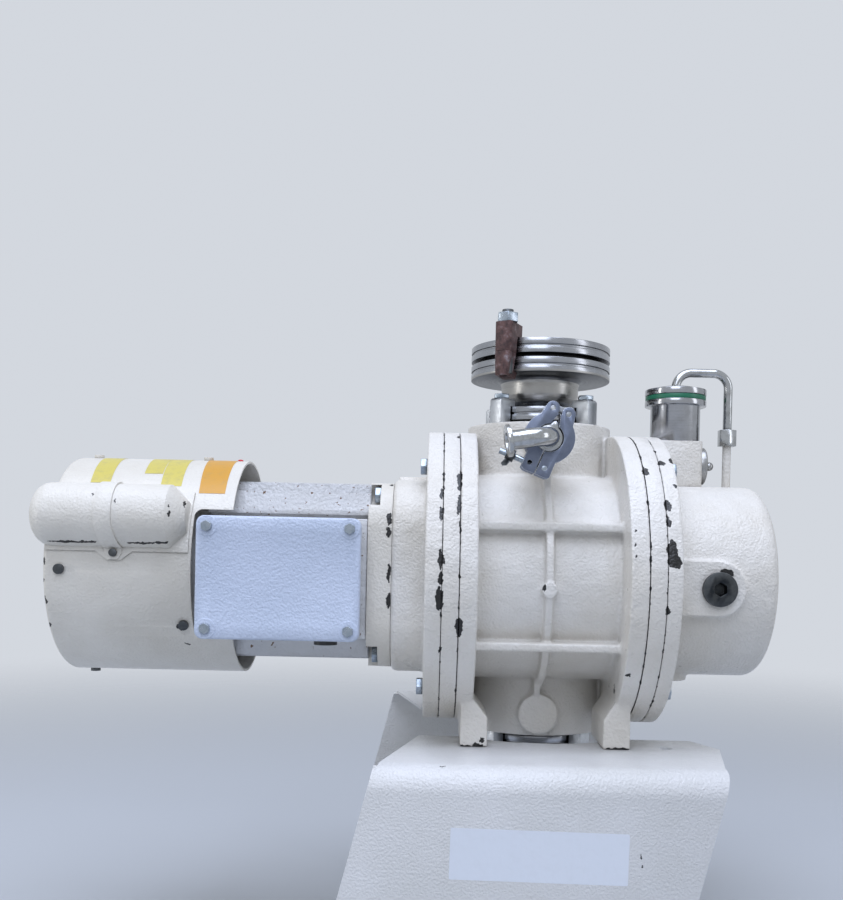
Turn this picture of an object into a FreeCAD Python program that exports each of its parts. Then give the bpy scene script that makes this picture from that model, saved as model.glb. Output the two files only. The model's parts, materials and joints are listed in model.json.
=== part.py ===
import FreeCAD, Part
import math
import os

# Roots vacuum pump with flange motor, on its sheet-metal stand.
# Millimetres. X runs along the rotor axes from the motor to the gear end, Y from the
# driving rotor to the idle rotor, Z up. The origin is the mouth of the outlet, on its axis.

# Rotors and pump body
rotor_spacing = 100.0
rotor_clearance = 0.25
tip_clearance = 0.35
chamber_left = -76.2
chamber_right = 72.0
casing_radius = 90.0
flange_radius = 126.8
casing_flange_thickness = 14.7
drive_plate_thickness = 13.5
gear_plate_thickness = 13.5
drive_cover_flange = 13.7
gear_cover_flange = 12.3
port_pad_radius = 66.5
inlet_pad_top = 137.9
outlet_pad_drop = 140.0
port_bore_radius = 33.0
stub_bore_radius = 35.0
foot_drop = 139.6
foot_front = 125.2
foot_width = 22.4
rib_height = 92.0
rib_thickness = 7.0
gallery_width = 6.5
gallery_x = -2.5
seal_section = 2.6
seat_gap = 0.3

# Shafts, bearings and gears
shaft_radius = 15.0
bearing_radius = 31.0
bearing_width = 16.0
bearing_hub_radius = 42.0
bearing_hub_length = 12.0
running_clearance = 0.05
gear_module = 4.0
gear_teeth = 25
gear_width = 20.0
slinger_radius = 66.0

# Drive cover and gear cover
drive_housing_half = 82.0
drive_housing_corner = 44.0
drive_housing_length = 27.9
gear_drum_radius = 84.0
gear_drum_end = 189.0
gear_drum_wall = 8.0
gear_drum_rounding = 12.0
oil_plug_radius = 14.1
oil_plug_x = 135.5
oil_plug_drop = 4.5
cover_bolt_radius = 112.0
cover_bolt_rise = 91.5
cover_bolt_thread = 4.0
cover_bolt_head = 13.0

# Port flanges: the small pair and the large pair
small_flange_radius = 47.5
large_flange_radius = 65.0
port_flange_thickness = 12.0
large_flange_thickness = 13.0
port_ring_gap = 4.0
large_ring_gap = 3.8
large_flange_bottom = 182.5
neck_radius = 36.0
neck_foot_radius = 27.5
neck_wall = 3.5
outlet_stub_length = 37.0
claw_angle = 45.0
claw_width = 13.0
claw_inner = 43.0
claw_outer = 62.0
claw_height = 23.0
claw_bolt_radius = 4.0
double_claw_angle = 242.0
double_claw_stud = 77.0
double_claw_width = 19.0
double_claw_tip = 14.5
double_claw_rounding = 6.0

# Purge port, elbow and its hinged clamp
purge_x = -5.6
purge_rise = 114.6
purge_face = 138.0
purge_flange_radius = 15.0
purge_bore = 6.6
purge_tube_radius = 7.6
clamp_outer = 20.6
clamp_thickness = 15.0
clamp_tilt = 21.8
clamp_eye_height = 23.1
clamp_eye_offset = 6.85
clamp_eye_radius = 5.6
clamp_pin_radius = 2.0
clamp_foot = 31.4
clamp_slot = 6.4
swing_bolt_radius = 2.5
swing_pin_height = 24.3
swing_pin_offset = 5.7
swing_bolt_length = 38.5
elbow_bend = 20.0
elbow_reach = 36.0
elbow_drop = 6.0
elbow_forward = 3.4
elbow_flange_radius = 12.6

# Vent block and canister on the gear cover
vent_y = -31.0
vent_block_right = 142.5
vent_block_top = 124.9
vent_block_width = 45.0
canister_x = 121.5
canister_body_radius = 22.3
canister_ring_radius = 27.5
canister_ring_rise = 157.5
canister_ring_thickness = 5.0
canister_lid_thickness = 5.5
canister_lid_dome = 2.0
canister_seal = 4.6
side_disc_rise = 104.0
side_disc_radius = 17.0
vent_tube_radius = 4.0
vent_tube_top = 189.2
vent_tube_x = 169.5
vent_tube_bend = 14.0
vent_nut_bottom = 122.8
vent_nut_height = 14.7

# Motor
motor_half = 78.0
motor_underside = 72.0
motor_flange_thickness = 19.7
motor_flange_half = 78.5
motor_bolt_recess = 9.2
motor_flange_corner = 40.0
motor_left = -285.0
motor_shaft_radius = 14.0
stator_outer = 62.0
stator_inner = 41.0
air_gap = 0.5
cowl_radius = 93.6
cowl_wall = 2.0
cowl_overlap = 23.5
cowl_rise = 4.0
rear_shield_depth = 22.0
fan_shield_gap = 15.0
fan_width = 28.0
fan_tip_gap = 7.6
fan_air_space = 62.0
lid_width = 131.5
lid_height = 98.5
lid_left = -286.0
lid_centre_rise = -3.0
lid_front = 156.5
lid_thickness = 6.5
cover_capsule_radius = 26.0
cover_overhang = 8.0
cover_length = 124.0
cover_angle = 24.8
cover_lift = 3.3
cover_sheet = 1.8
cover_lip = 2.6
strap_width = 14.0
strap_sheet = 1.3

# Stand
stand_height = 200.0
stand_front = 209.0
stand_sheet = 3.0
stand_bend = 20.0
stand_flange_edge = 78.0
stand_lean = 0.25
stand_left = -139.0
stand_right = 130.0
stand_notch_radius = 104.0
stand_foot_width = 60.0
base_hole_x = 100.0
base_hole_y = 172.0
base_hole_radius = 5.5
base_centre_x = -54.5
spare_hole_x = 101.0

# Places worked out from the sizes above
axis_height = outlet_pad_drop + port_ring_gap + outlet_stub_length
half_spacing = rotor_spacing / 2
drive_y = -half_spacing
idle_y = half_spacing
rotor_tip = 0.75 * rotor_spacing
rotor_waist = 0.25 * rotor_spacing
chamber_radius = rotor_tip + tip_clearance
drive_plate_left = chamber_left - drive_plate_thickness
drive_flange_left = drive_plate_left - drive_cover_flange
drive_housing_left = drive_flange_left - drive_housing_length
gear_plate_right = chamber_right + gear_plate_thickness
gear_flange_right = gear_plate_right + gear_cover_flange
inlet_top = axis_height + inlet_pad_top
outlet_pad = axis_height - outlet_pad_drop
foot_plane = axis_height - foot_drop
floor = foot_plane - stand_height

os.makedirs("parts", exist_ok=True)


def vec(x, y, z):
    return FreeCAD.Vector(x, y, z)


AXIS_X = vec(1, 0, 0)
AXIS_Y = vec(0, 1, 0)
AXIS_Z = vec(0, 0, 1)


def save(name, *solids):
    shape = solids[0] if len(solids) == 1 else Part.Compound(list(solids))
    shape.exportStep("parts/" + name + ".step")


def block(x0, x1, y0, y1, z0, z1):
    return Part.makeBox(x1 - x0, y1 - y0, z1 - z0, vec(x0, y0, z0))


def rod_x(x0, x1, radius, y=drive_y, z=axis_height):
    return Part.makeCylinder(radius, x1 - x0, vec(x0, y, z), AXIS_X)


def rod_y(y0, y1, radius, x, z):
    return Part.makeCylinder(radius, y1 - y0, vec(x, y0, z), AXIS_Y)


def rod_z(z0, z1, radius, x=0.0, y=0.0):
    return Part.makeCylinder(radius, z1 - z0, vec(x, y, z0), AXIS_Z)


def ring_x(x0, x1, outer, inner, y=drive_y, z=axis_height):
    return rod_x(x0, x1, outer, y, z).cut(rod_x(x0, x1, inner, y, z))


def ring_z(z0, z1, outer, inner, x=0.0, y=0.0):
    return rod_z(z0, z1, outer, x, y).cut(rod_z(z0, z1, inner, x, y))


def prism(points, direction):
    wire = Part.makePolygon(points + [points[0]])
    return Part.Face(wire).extrude(direction)


def hexagon(base, direction, across_flats, length):
    """A hexagonal head or nut that starts at base and grows along direction."""
    corner = across_flats / math.sqrt(3)
    turn = FreeCAD.Rotation(AXIS_Z, direction)
    points = []
    for step in range(6):
        angle = math.radians(60 * step + 30)
        points.append(base + turn.multVec(vec(corner * math.cos(angle), corner * math.sin(angle), 0)))
    return prism(points, vec(*direction) * length)


def hex_bolt(seat, inward, thread, across_flats, shank, head):
    """A hexagon bolt: the head stands outside the seat, the shank goes inward."""
    outward = inward * -1
    bolt = hexagon(seat, outward, across_flats, head)
    return bolt.fuse(Part.makeCylinder(thread, shank, seat, inward)).removeSplitter()


def obround_x(x0, x1, radius):
    """A prism along X around both rotor axes, with half-round ends."""
    middle = block(x0, x1, drive_y, idle_y, axis_height - radius, axis_height + radius)
    ends = rod_x(x0, x1, radius, drive_y).fuse(rod_x(x0, x1, radius, idle_y))
    return middle.fuse(ends).removeSplitter()


def rounded_square_x(x0, x1, half, corner):
    """A square prism along X on the driving axis, with rounded corners."""
    solid = block(x0, x1, drive_y - half, drive_y + half, axis_height - half, axis_height + half)
    edges = [e for e in solid.Edges if abs(e.tangentAt(e.FirstParameter).x) > 0.99]
    return solid.makeFillet(corner, edges)


def end_edges(solid, x):
    """The edges of a solid that lie wholly in the plane at x."""
    return [e for e in solid.Edges if abs(e.BoundBox.XMin - x) < 0.01 and abs(e.BoundBox.XMax - x) < 0.01]


def corner_points(x):
    """The four corner bolts, the same on both covers."""
    reach = math.sqrt(cover_bolt_radius ** 2 - cover_bolt_rise ** 2)
    points = []
    for side in (-1, 1):
        for rise in (-cover_bolt_rise, cover_bolt_rise):
            points.append(vec(x, side * (half_spacing + reach), axis_height + rise))
    return points


# Stand: two bent sheet panels. Their side edges lean towards the motor.
def stand_panel(side):
    outer = side * stand_front
    inner = side * (stand_front - stand_sheet)
    flange = side * stand_flange_edge
    foot = side * (stand_front - stand_foot_width)
    top = foot_plane
    lean_down = stand_lean * stand_height
    lean_back = stand_lean * (stand_front - stand_flange_edge)
    length = stand_right - stand_left + lean_down + lean_back + 20

    def bent(offset):
        face = side * (stand_front - offset)
        roof = top - offset
        radius = stand_bend - offset
        turn = radius * (1 - math.sqrt(0.5))
        start = stand_left - lean_down - 10
        a = vec(start, flange, roof)
        b = vec(start, face - side * radius, roof)
        c = vec(start, face - side * turn, roof - turn)
        d = vec(start, face, roof - radius)
        e = vec(start, face, floor + radius)
        f = vec(start, face - side * turn, floor + offset + turn)
        g = vec(start, face - side * radius, floor + offset)
        h = vec(start, foot, floor + offset)
        e = vec(start, face, floor + offset + radius)
        return [a, b, c, d, e, f, g, h]

    o = bent(0)
    i = bent(stand_sheet)
    outline = Part.Wire([
        Part.LineSegment(o[0], o[1]).toShape(),
        Part.Arc(o[1], o[2], o[3]).toShape(),
        Part.LineSegment(o[3], o[4]).toShape(),
        Part.Arc(o[4], o[5], o[6]).toShape(),
        Part.LineSegment(o[6], o[7]).toShape(),
        Part.LineSegment(o[7], i[7]).toShape(),
        Part.LineSegment(i[7], i[6]).toShape(),
        Part.Arc(i[6], i[5], i[4]).toShape(),
        Part.LineSegment(i[4], i[3]).toShape(),
        Part.Arc(i[3], i[2], i[1]).toShape(),
        Part.LineSegment(i[1], i[0]).toShape(),
        Part.LineSegment(i[0], o[0]).toShape(),
    ])
    panel = Part.Face(outline).extrude(vec(length, 0, 0))

    # The wall leans one way as it goes down, the roof flange the other way as it goes back.
    wall = [
        vec(stand_left, side * 300, top - stand_sheet),
        vec(stand_right, side * 300, top - stand_sheet),
        vec(stand_right - lean_down, side * 300, floor - 1),
        vec(stand_left - lean_down, side * 300, floor - 1),
    ]
    wall_cut = prism(wall, vec(0, -side * 300, 0))
    roof = [
        vec(stand_left, outer + side, top - stand_sheet),
        vec(stand_right, outer + side, top - stand_sheet),
        vec(stand_right, outer - side * stand_bend, top - stand_sheet),
        vec(stand_right + lean_back * 0.5, side * foot_bolt_y, top - stand_sheet),
        vec(stand_right, flange, top - stand_sheet),
        vec(stand_left + lean_back, flange, top - stand_sheet),
    ]
    roof_cut = prism(roof, vec(0, 0, stand_sheet + 1))
    panel = panel.common(wall_cut.fuse(roof_cut))
    panel = panel.cut(rod_z(top - stand_sheet - 1, top + 1, stand_notch_radius))
    for x in (*foot_centres(), spare_hole_x):
        panel = panel.cut(rod_z(top - stand_sheet - 1, top + 1, foot_bolt_hole, x, side * foot_bolt_y))
    for offset in (-base_hole_x, base_hole_x):
        hole = rod_z(floor - 1, floor + stand_sheet + 1, base_hole_radius, base_centre_x + offset, side * base_hole_y)
        panel = panel.cut(hole)
    return panel


foot_bolt_hole = 5.5
foot_bolt_y = 114.0
left_foot = -71.5
right_foot = 69.1


def foot_centres():
    return (left_foot + foot_width / 2, right_foot - foot_width / 2)


front_panel = stand_panel(-1)
rear_panel = stand_panel(1)
save("stand_front_panel", front_panel)
save("stand_rear_panel", rear_panel)

stand_bolts = []
for foot_x in foot_centres():
    for foot_y in (-foot_bolt_y, foot_bolt_y):
        seat = vec(foot_x, foot_y, foot_plane - stand_sheet)
        stand_bolts.append(hex_bolt(seat, AXIS_Z, 5.0, 16.0, 22.0, 6.4))
save("stand_bolts", *stand_bolts)


low_boss_radius = 17.5


# Rotor casing: the figure-of-eight chamber between two wide flanges, with ports and feet.
def casing():
    left_inner = chamber_left + casing_flange_thickness
    right_inner = chamber_right - casing_flange_thickness
    body = obround_x(chamber_left, chamber_right, casing_radius)
    body = body.fuse(obround_x(chamber_left, left_inner, flange_radius))
    body = body.fuse(obround_x(right_inner, chamber_right, flange_radius))
    body = body.fuse(rod_z(axis_height, inlet_top, port_pad_radius))
    body = body.fuse(rod_z(outlet_pad, axis_height, port_pad_radius))
    for side in (-1, 1):
        for rise in (43.4, -54.8):
            y0, y1 = sorted((side * (half_spacing + 40), side * (half_spacing + rib_height)))
            low = axis_height + rise - rib_thickness / 2
            body = body.fuse(block(left_inner, right_inner, y0, y1, low, low + rib_thickness))
        for foot_x, inward in ((left_foot, 1), (right_foot, -1)):
            tip = foot_x + inward * foot_width
            root = left_inner if inward > 0 else right_inner
            sole = foot_plane
            y0, y1 = sorted((side * 60, side * foot_front))
            foot = [
                vec(foot_x, y0, sole),
                vec(tip, y0, sole),
                vec(tip, y0, sole + 24),
                vec(root, y0, sole + 40),
                vec(root, y0, sole + 70),
                vec(foot_x, y0, sole + 70),
            ]
            foot_solid = prism(foot, vec(0, y1 - y0, 0))
            body = body.fuse(foot_solid)
    # Gallery along the front from the purge port down to the outlet, with its two bosses.
    gallery = obround_x(gallery_x - gallery_width / 2, gallery_x + gallery_width / 2, casing_radius + 8)
    body = body.fuse(gallery.common(block(-20, 20, -300, drive_y, 0, 400)))
    body = body.fuse(rod_y(-purge_face + 20, -40, 13.5, purge_x, axis_height + purge_rise))
    web_top = axis_height + purge_rise
    web_half = gallery_width / 2
    body = body.fuse(block(gallery_x - web_half, gallery_x + web_half, -112, -50, axis_height + 60, web_top))
    body = body.fuse(rod_y(-78, -40, low_boss_radius, gallery_x, outlet_pad + low_boss_radius + 3))
    body = body.fuse(rod_y(-(half_spacing + casing_radius + 9), -120, 6.4, gallery_x, axis_height - 7.8))
    body = body.removeSplitter()
    for y in (drive_y, idle_y):
        body = body.cut(rod_x(chamber_left - 1, chamber_right + 1, chamber_radius, y))
    body = body.cut(rod_z(outlet_pad - 1, inlet_top + 1, port_bore_radius))
    # The gallery bore meets the inlet side of the chamber behind the purge port.
    body = body.cut(rod_y(-purge_face, -20, purge_bore, purge_x, axis_height + purge_rise))
    body = body.cut(purge_socket())
    for x in foot_centres():
        for y in (-foot_bolt_y, foot_bolt_y):
            body = body.cut(rod_z(foot_plane - 1, foot_plane + 21, 5.3, x, y))
    for point in corner_points(chamber_left):
        body = body.cut(Part.makeCylinder(cover_bolt_thread + 0.3, 13, point, AXIS_X))
    for point in corner_points(chamber_right):
        body = body.cut(Part.makeCylinder(cover_bolt_thread + 0.3, 13, point, AXIS_X * -1))
    for x, y in claw_centres():
        body = body.cut(rod_z(inlet_top - 18, inlet_top + 1, claw_bolt_radius + 0.3, x, y))
        body = body.cut(rod_z(outlet_pad - 1, outlet_pad + 18, claw_bolt_radius + 0.3, x, y))
    return body


purge_thread = 9.6


def purge_socket():
    return rod_y(-purge_face + 19, -purge_face + 32, purge_thread + 0.3, purge_x, axis_height + purge_rise)


def claw_centres():
    middle = (claw_inner + claw_outer) / 2 + 1.5
    centres = []
    for step in range(4):
        angle = math.radians(claw_angle + 90 * step)
        centres.append((middle * math.cos(angle), middle * math.sin(angle)))
    return centres


save("rotor_casing", casing())


# End plates: flat plates that close the chamber and carry the bearings in hubs.
def end_plate(inner, thickness, outward):
    outer = inner + outward * thickness
    hub_end = outer + outward * bearing_hub_length
    x0, x1 = sorted((inner, outer))
    plate = obround_x(x0, x1, flange_radius)
    h0, h1 = sorted((outer, hub_end))
    b0, b1 = sorted((hub_end, hub_end - outward * (bearing_width + 1)))
    for y in (drive_y, idle_y):
        plate = plate.fuse(rod_x(h0, h1, bearing_hub_radius, y))
    plate = plate.removeSplitter()
    for y in (drive_y, idle_y):
        plate = plate.cut(rod_x(b0, b1, bearing_radius, y))
        plate = plate.cut(rod_x(min(inner, hub_end) - 1, max(inner, hub_end) + 1, shaft_radius + 6, y))
    for point in corner_points(x0):
        plate = plate.cut(Part.makeCylinder(cover_bolt_thread + 0.3, thickness, point, AXIS_X))
    return plate


def seal_band(x0, x1, radius):
    return obround_x(x0, x1, radius + seal_section).cut(obround_x(x0, x1, radius))


seal_radius = chamber_radius + 7.0
cover_seal_radius = 92.0
seal_depth = 2.0
drive_plate = end_plate(chamber_left, drive_plate_thickness, -1)
gear_plate = end_plate(chamber_right, gear_plate_thickness, 1)
seal_places = (
    (chamber_left - seal_depth, chamber_left, seal_radius),
    (chamber_right, chamber_right + seal_depth, seal_radius),
    (drive_plate_left, drive_plate_left + seal_depth, cover_seal_radius),
    (gear_plate_right - seal_depth, gear_plate_right, cover_seal_radius),
)
plate_seals = [seal_band(*place) for place in seal_places]
for index in (0, 2):
    drive_plate = drive_plate.cut(plate_seals[index])
for index in (1, 3):
    gear_plate = gear_plate.cut(plate_seals[index])
save("drive_end_plate", drive_plate)
save("gear_end_plate", gear_plate)
save("plate_seals", *plate_seals)

drive_hub_end = drive_plate_left - bearing_hub_length
gear_hub_end = gear_plate_right + bearing_hub_length
bearings = []
shaft_seals = []
for axis_y in (drive_y, idle_y):
    for hub_end, outward in ((drive_hub_end, -1), (gear_hub_end, 1)):
        x0, x1 = sorted((hub_end, hub_end - outward * bearing_width))
        bearings.append(ring_x(x0, x1, bearing_radius, shaft_radius + running_clearance, axis_y))
        start = hub_end - outward * (bearing_width + 1.5)
        s0, s1 = sorted((start, start - outward * 5))
        shaft_seals.append(ring_x(s0, s1, shaft_radius + 6, shaft_radius + running_clearance, axis_y))
save("rotor_bearings", *bearings)
save("shaft_seals", *shaft_seals)


# Rotors: two lobes each, an epicycloid tip that runs in the hypocycloid waist of the other.
def rotor_profile(x, axis_y, turn):
    pitch = half_spacing
    roll = pitch / 4
    half_lobe = []
    count = 7
    for step in range(count + 1):
        angle = -math.pi / 4 + step * (math.pi / 2) / count
        shifted = angle + math.pi / 4
        px = (pitch + roll) * math.cos(shifted) - roll * math.cos(5 * shifted)
        py = (pitch + roll) * math.sin(shifted) - roll * math.sin(5 * shifted)
        c, s = math.cos(-math.pi / 4), math.sin(-math.pi / 4)
        half_lobe.append((px * c - py * s, px * s + py * c))
    waist = []
    for step in range(count + 1):
        shifted = step * (math.pi / 2) / count
        px = (pitch - roll) * math.cos(shifted) + roll * math.cos(3 * shifted)
        py = (pitch - roll) * math.sin(shifted) - roll * math.sin(3 * shifted)
        c, s = math.cos(math.pi / 4), math.sin(math.pi / 4)
        waist.append((px * c - py * s, px * s + py * c))
    edges = []
    for quarter in range(2):
        for curve in (half_lobe, waist):
            placed = []
            for px, py in curve:
                radius = math.hypot(px, py) - rotor_clearance
                angle = math.atan2(py, px) + math.pi * quarter + turn
                placed.append(vec(x, axis_y + radius * math.cos(angle), axis_height + radius * math.sin(angle)))
            spline = Part.BSplineCurve()
            spline.interpolate(placed)
            edges.append(spline.toShape())
    return Part.Wire(edges)


end_clearance = 0.25


def rotor(axis_y, turn, shaft_left, shaft_right):
    x0 = chamber_left + end_clearance
    x1 = chamber_right - end_clearance
    body = Part.Face(rotor_profile(x0, axis_y, turn)).extrude(vec(x1 - x0, 0, 0))
    for lobe in (0, math.pi):
        y = axis_y + 0.68 * rotor_tip * math.cos(turn + lobe)
        z = axis_height + 0.68 * rotor_tip * math.sin(turn + lobe)
        body = body.cut(rod_x(x0 - 1, x1 + 1, 8.0, y, z))
    return body.fuse(rod_x(shaft_left, shaft_right, shaft_radius, axis_y)).removeSplitter()


coupling_face = drive_flange_left - 1.5
motor_shaft_right = drive_housing_left + 7.0
pump_shaft_left = coupling_face - 10.1
gear_x0 = gear_hub_end + 3.0
gear_x1 = gear_x0 + gear_width
slinger_x = gear_x1 + 4.0
save("drive_rotor", rotor(drive_y, math.pi / 2, pump_shaft_left, gear_x1 + 4))
save("idle_rotor", rotor(idle_y, 0.0, drive_hub_end - 2, slinger_x + 4))


# Timing gears: straight teeth that thin towards the tip, one gear turned half a tooth.
def timing_gear(axis_y, turn):
    pitch_radius = gear_module * gear_teeth / 2
    root = pitch_radius - 1.2 * gear_module
    tip = pitch_radius + 0.85 * gear_module
    tooth = 2 * math.pi / gear_teeth
    points = []
    for index in range(gear_teeth):
        middle = turn + index * tooth
        for radius, share in ((root, -0.36), (tip, -0.1), (tip, 0.1), (root, 0.36)):
            angle = middle + share * tooth
            points.append(vec(gear_x0, axis_y + radius * math.cos(angle), axis_height + radius * math.sin(angle)))
    gear = prism(points, vec(gear_width, 0, 0))
    return gear.cut(rod_x(gear_x0 - 1, gear_x1 + 1, shaft_radius, axis_y))


save("drive_gear", timing_gear(drive_y, 0.0))
save("idle_gear", timing_gear(idle_y, math.pi + math.pi / gear_teeth))
save("oil_slinger", ring_x(slinger_x - 2, slinger_x, slinger_radius, shaft_radius, idle_y))


# Drive cover: a flange over the end plate with the coupling housing on the driving axis.
motor_bolt_y = 47.3
motor_bolt_z = 67.6


def motor_bolt_points(x):
    points = []
    for dy in (-motor_bolt_y, motor_bolt_y):
        for dz in (-motor_bolt_z, motor_bolt_z):
            points.append(vec(x, drive_y + dy, axis_height + dz))
    return points


def drive_cover():
    housing = rounded_square_x(drive_housing_left, drive_flange_left, drive_housing_half, drive_housing_corner)
    housing = housing.makeFillet(5.0, end_edges(housing, drive_housing_left))
    cover = housing.fuse(obround_x(drive_flange_left, drive_plate_left, flange_radius))
    top = axis_height + drive_housing_half
    boss = block(drive_housing_left + 3, drive_flange_left, drive_y - 20, drive_y + 20, top - 12, top + 4)
    cover = cover.fuse(boss).removeSplitter()
    hollow_x = drive_plate_left - bearing_hub_length - 3
    cover = cover.cut(rod_x(drive_housing_left - 1, drive_plate_left, 58.0))
    for y in (drive_y, idle_y):
        cover = cover.cut(rod_x(drive_flange_left + 4, drive_plate_left + 1, bearing_hub_radius + 12, y))
    cover = cover.cut(block(drive_flange_left + 4, drive_plate_left, drive_y, idle_y, axis_height - 40, axis_height + 40))
    cover = cover.cut(rod_x(min(hollow_x, drive_flange_left + 1) - 1, drive_plate_left, bearing_hub_radius + 2, idle_y))
    lid = rod_x(drive_flange_left - 6, hollow_x, bearing_hub_radius + 8, idle_y)
    cover = cover.fuse(lid.cut(rounded_square_x(drive_housing_left, drive_flange_left, drive_housing_half - 1, drive_housing_corner)))
    for point in corner_points(drive_flange_left - 1):
        cover = cover.cut(Part.makeCylinder(cover_bolt_thread + 0.3, drive_cover_flange + 2, point, AXIS_X))
    for point in motor_bolt_points(drive_housing_left):
        cover = cover.cut(Part.makeCylinder(4.3, 16, point, AXIS_X))
    return cover


save("drive_cover", drive_cover())


# Gear cover: an oil-tight drum over both gears, with the oil plug boss on its front.
def gear_cover():
    drum = obround_x(gear_flange_right, gear_drum_end, gear_drum_radius)
    drum = drum.makeFillet(gear_drum_rounding, end_edges(drum, gear_drum_end))
    cover = drum.fuse(obround_x(gear_plate_right, gear_flange_right, flange_radius))
    boss_face = -(half_spacing + gear_drum_radius + 6)
    boss_z = axis_height - oil_plug_drop
    boss_half = oil_plug_radius + 8.5
    cover = cover.fuse(rod_y(boss_face, -90, boss_half, oil_plug_x, boss_z))
    cover = cover.fuse(block(gear_flange_right, oil_plug_x, boss_face, -90, boss_z - boss_half, boss_z + boss_half))
    drain = axis_height - gear_drum_radius
    cover = cover.fuse(rod_z(drain - 4, drain + 10, 13.0, 116.0, -62.0))
    cover = cover.removeSplitter()
    hollow = obround_x(gear_plate_right - 1, gear_drum_end - gear_drum_wall, gear_drum_radius - gear_drum_wall)
    cover = cover.cut(hollow)
    cover = cover.cut(rod_y(boss_face - 1, -90, oil_plug_radius - 3.2, oil_plug_x, boss_z))
    for point in corner_points(gear_plate_right - 1):
        cover = cover.cut(Part.makeCylinder(cover_bolt_thread + 0.3, gear_cover_flange + 2, point, AXIS_X))
    return cover


save("gear_cover", gear_cover())

plug_face = -(half_spacing + gear_drum_radius + 6)
plug_z = axis_height - oil_plug_drop
oil_plug = rod_y(plug_face - 5, plug_face, oil_plug_radius, oil_plug_x, plug_z)
oil_plug = oil_plug.fuse(rod_y(plug_face, plug_face + 13, oil_plug_radius - 3.5, oil_plug_x, plug_z))
oil_plug = oil_plug.cut(hexagon(vec(oil_plug_x, plug_face - 5.5, plug_z), AXIS_Y, 10.0, 8.5))
save("oil_plug", oil_plug)

cover_screws = []
cover_screw_shank = drive_cover_flange + drive_plate_thickness + 11
for point in corner_points(drive_flange_left):
    cover_screws.append(hex_bolt(point, AXIS_X, cover_bolt_thread, cover_bolt_head, cover_screw_shank, 5.5))
gear_screw_shank = gear_cover_flange + gear_plate_thickness + 11
for point in corner_points(gear_flange_right):
    cover_screws.append(hex_bolt(point, AXIS_X * -1, cover_bolt_thread, cover_bolt_head, gear_screw_shank, 5.5))
save("cover_screws", *cover_screws)


# Port flanges. A groove runs round each rim, as on clamped vacuum flanges.
def port_flange(z0, thickness, radius):
    disc = rod_z(z0, z0 + thickness, radius)
    groove = ring_z(z0 + thickness * 0.42, z0 + thickness * 0.58, radius + 1, radius - 1.6)
    return disc.cut(groove)


small_bottom = inlet_top + port_ring_gap
small_top = small_bottom + port_flange_thickness
large_bottom = axis_height + large_flange_bottom
large_top = large_bottom + large_flange_thickness
blank_bottom = large_top + large_ring_gap
blank_top = blank_bottom + large_flange_thickness


large_bore = 50.0


def bowl(wall):
    """The neck between the two flanges: a narrow foot that opens like a bowl, less a wall."""
    foot = small_top + 3.0
    shoulder = small_top + 14.0
    flare = large_bottom - 6.0
    narrow = neck_foot_radius - wall
    wide = neck_radius - wall
    turn = (wide - narrow) * (1 - math.sqrt(0.5))
    rise = (shoulder - foot) * math.sqrt(0.5)
    edges = [
        Part.LineSegment(vec(0, 0, small_top - 1), vec(narrow, 0, small_top - 1)),
        Part.LineSegment(vec(narrow, 0, small_top - 1), vec(narrow, 0, foot)),
        Part.Arc(vec(narrow, 0, foot), vec(wide - turn, 0, foot + rise * 0.75), vec(wide, 0, shoulder)),
        Part.LineSegment(vec(wide, 0, shoulder), vec(wide, 0, flare)),
        Part.Arc(vec(wide, 0, flare), vec(wide + 1.8, 0, flare + 4.3), vec(wide + 7, 0, large_bottom + 1)),
        Part.LineSegment(vec(wide + 7, 0, large_bottom + 1), vec(wide + 7, 0, large_bottom + 3)),
        Part.LineSegment(vec(wide + 7, 0, large_bottom + 3), vec(0, 0, large_bottom + 3)),
        Part.LineSegment(vec(0, 0, large_bottom + 3), vec(0, 0, small_top - 1)),
    ]
    section = Part.Face(Part.Wire([edge.toShape() for edge in edges]))
    return section.revolve(vec(0, 0, 0), AXIS_Z, 360)


def inlet_adapter():
    adapter = port_flange(small_bottom, port_flange_thickness, small_flange_radius)
    adapter = adapter.fuse(port_flange(large_bottom, large_flange_thickness, large_flange_radius))
    adapter = adapter.fuse(bowl(0.0)).removeSplitter()
    adapter = adapter.cut(bowl(neck_wall))
    adapter = adapter.cut(rod_z(small_bottom - 1, small_top, neck_foot_radius - neck_wall))
    return adapter.cut(rod_z(large_bottom + 2, large_top + 1, large_bore))


save("inlet_adapter", inlet_adapter())

small_ring = ring_z(inlet_top, small_bottom, stub_bore_radius + 4, stub_bore_radius + 0.5)
large_ring = ring_z(large_top, blank_bottom, 55.0, 50.0)
purge_axis_z = axis_height + purge_rise
purge_gap = 2.6
purge_ring = rod_y(-purge_face - purge_gap, -purge_face, purge_flange_radius - 3.5, purge_x, purge_axis_z)
purge_ring = purge_ring.cut(rod_y(-purge_face - purge_gap, -purge_face, purge_bore + 1, purge_x, purge_axis_z))
outlet_ring = ring_z(outlet_pad - port_ring_gap, outlet_pad, stub_bore_radius + 4, stub_bore_radius + 0.5)
save("centring_rings", small_ring, large_ring, purge_ring, outlet_ring)

blank = port_flange(blank_bottom, large_flange_thickness, large_flange_radius)
save("blank_flange", blank.cut(rod_z(blank_top - 2.5, blank_top + 1, large_flange_radius - 16)))


# Outlet stub: two small flanges and a short tube that hangs under the casing.
def outlet_stub():
    upper = outlet_pad - port_ring_gap - port_flange_thickness
    stub = port_flange(upper, port_flange_thickness, small_flange_radius)
    stub = stub.fuse(port_flange(0, port_flange_thickness, small_flange_radius))
    stub = stub.fuse(rod_z(port_flange_thickness - 1, upper + 1, stub_bore_radius + neck_wall)).removeSplitter()
    return stub.cut(rod_z(-1, outlet_pad + 1, stub_bore_radius))


save("outlet_flange", outlet_stub())


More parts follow.
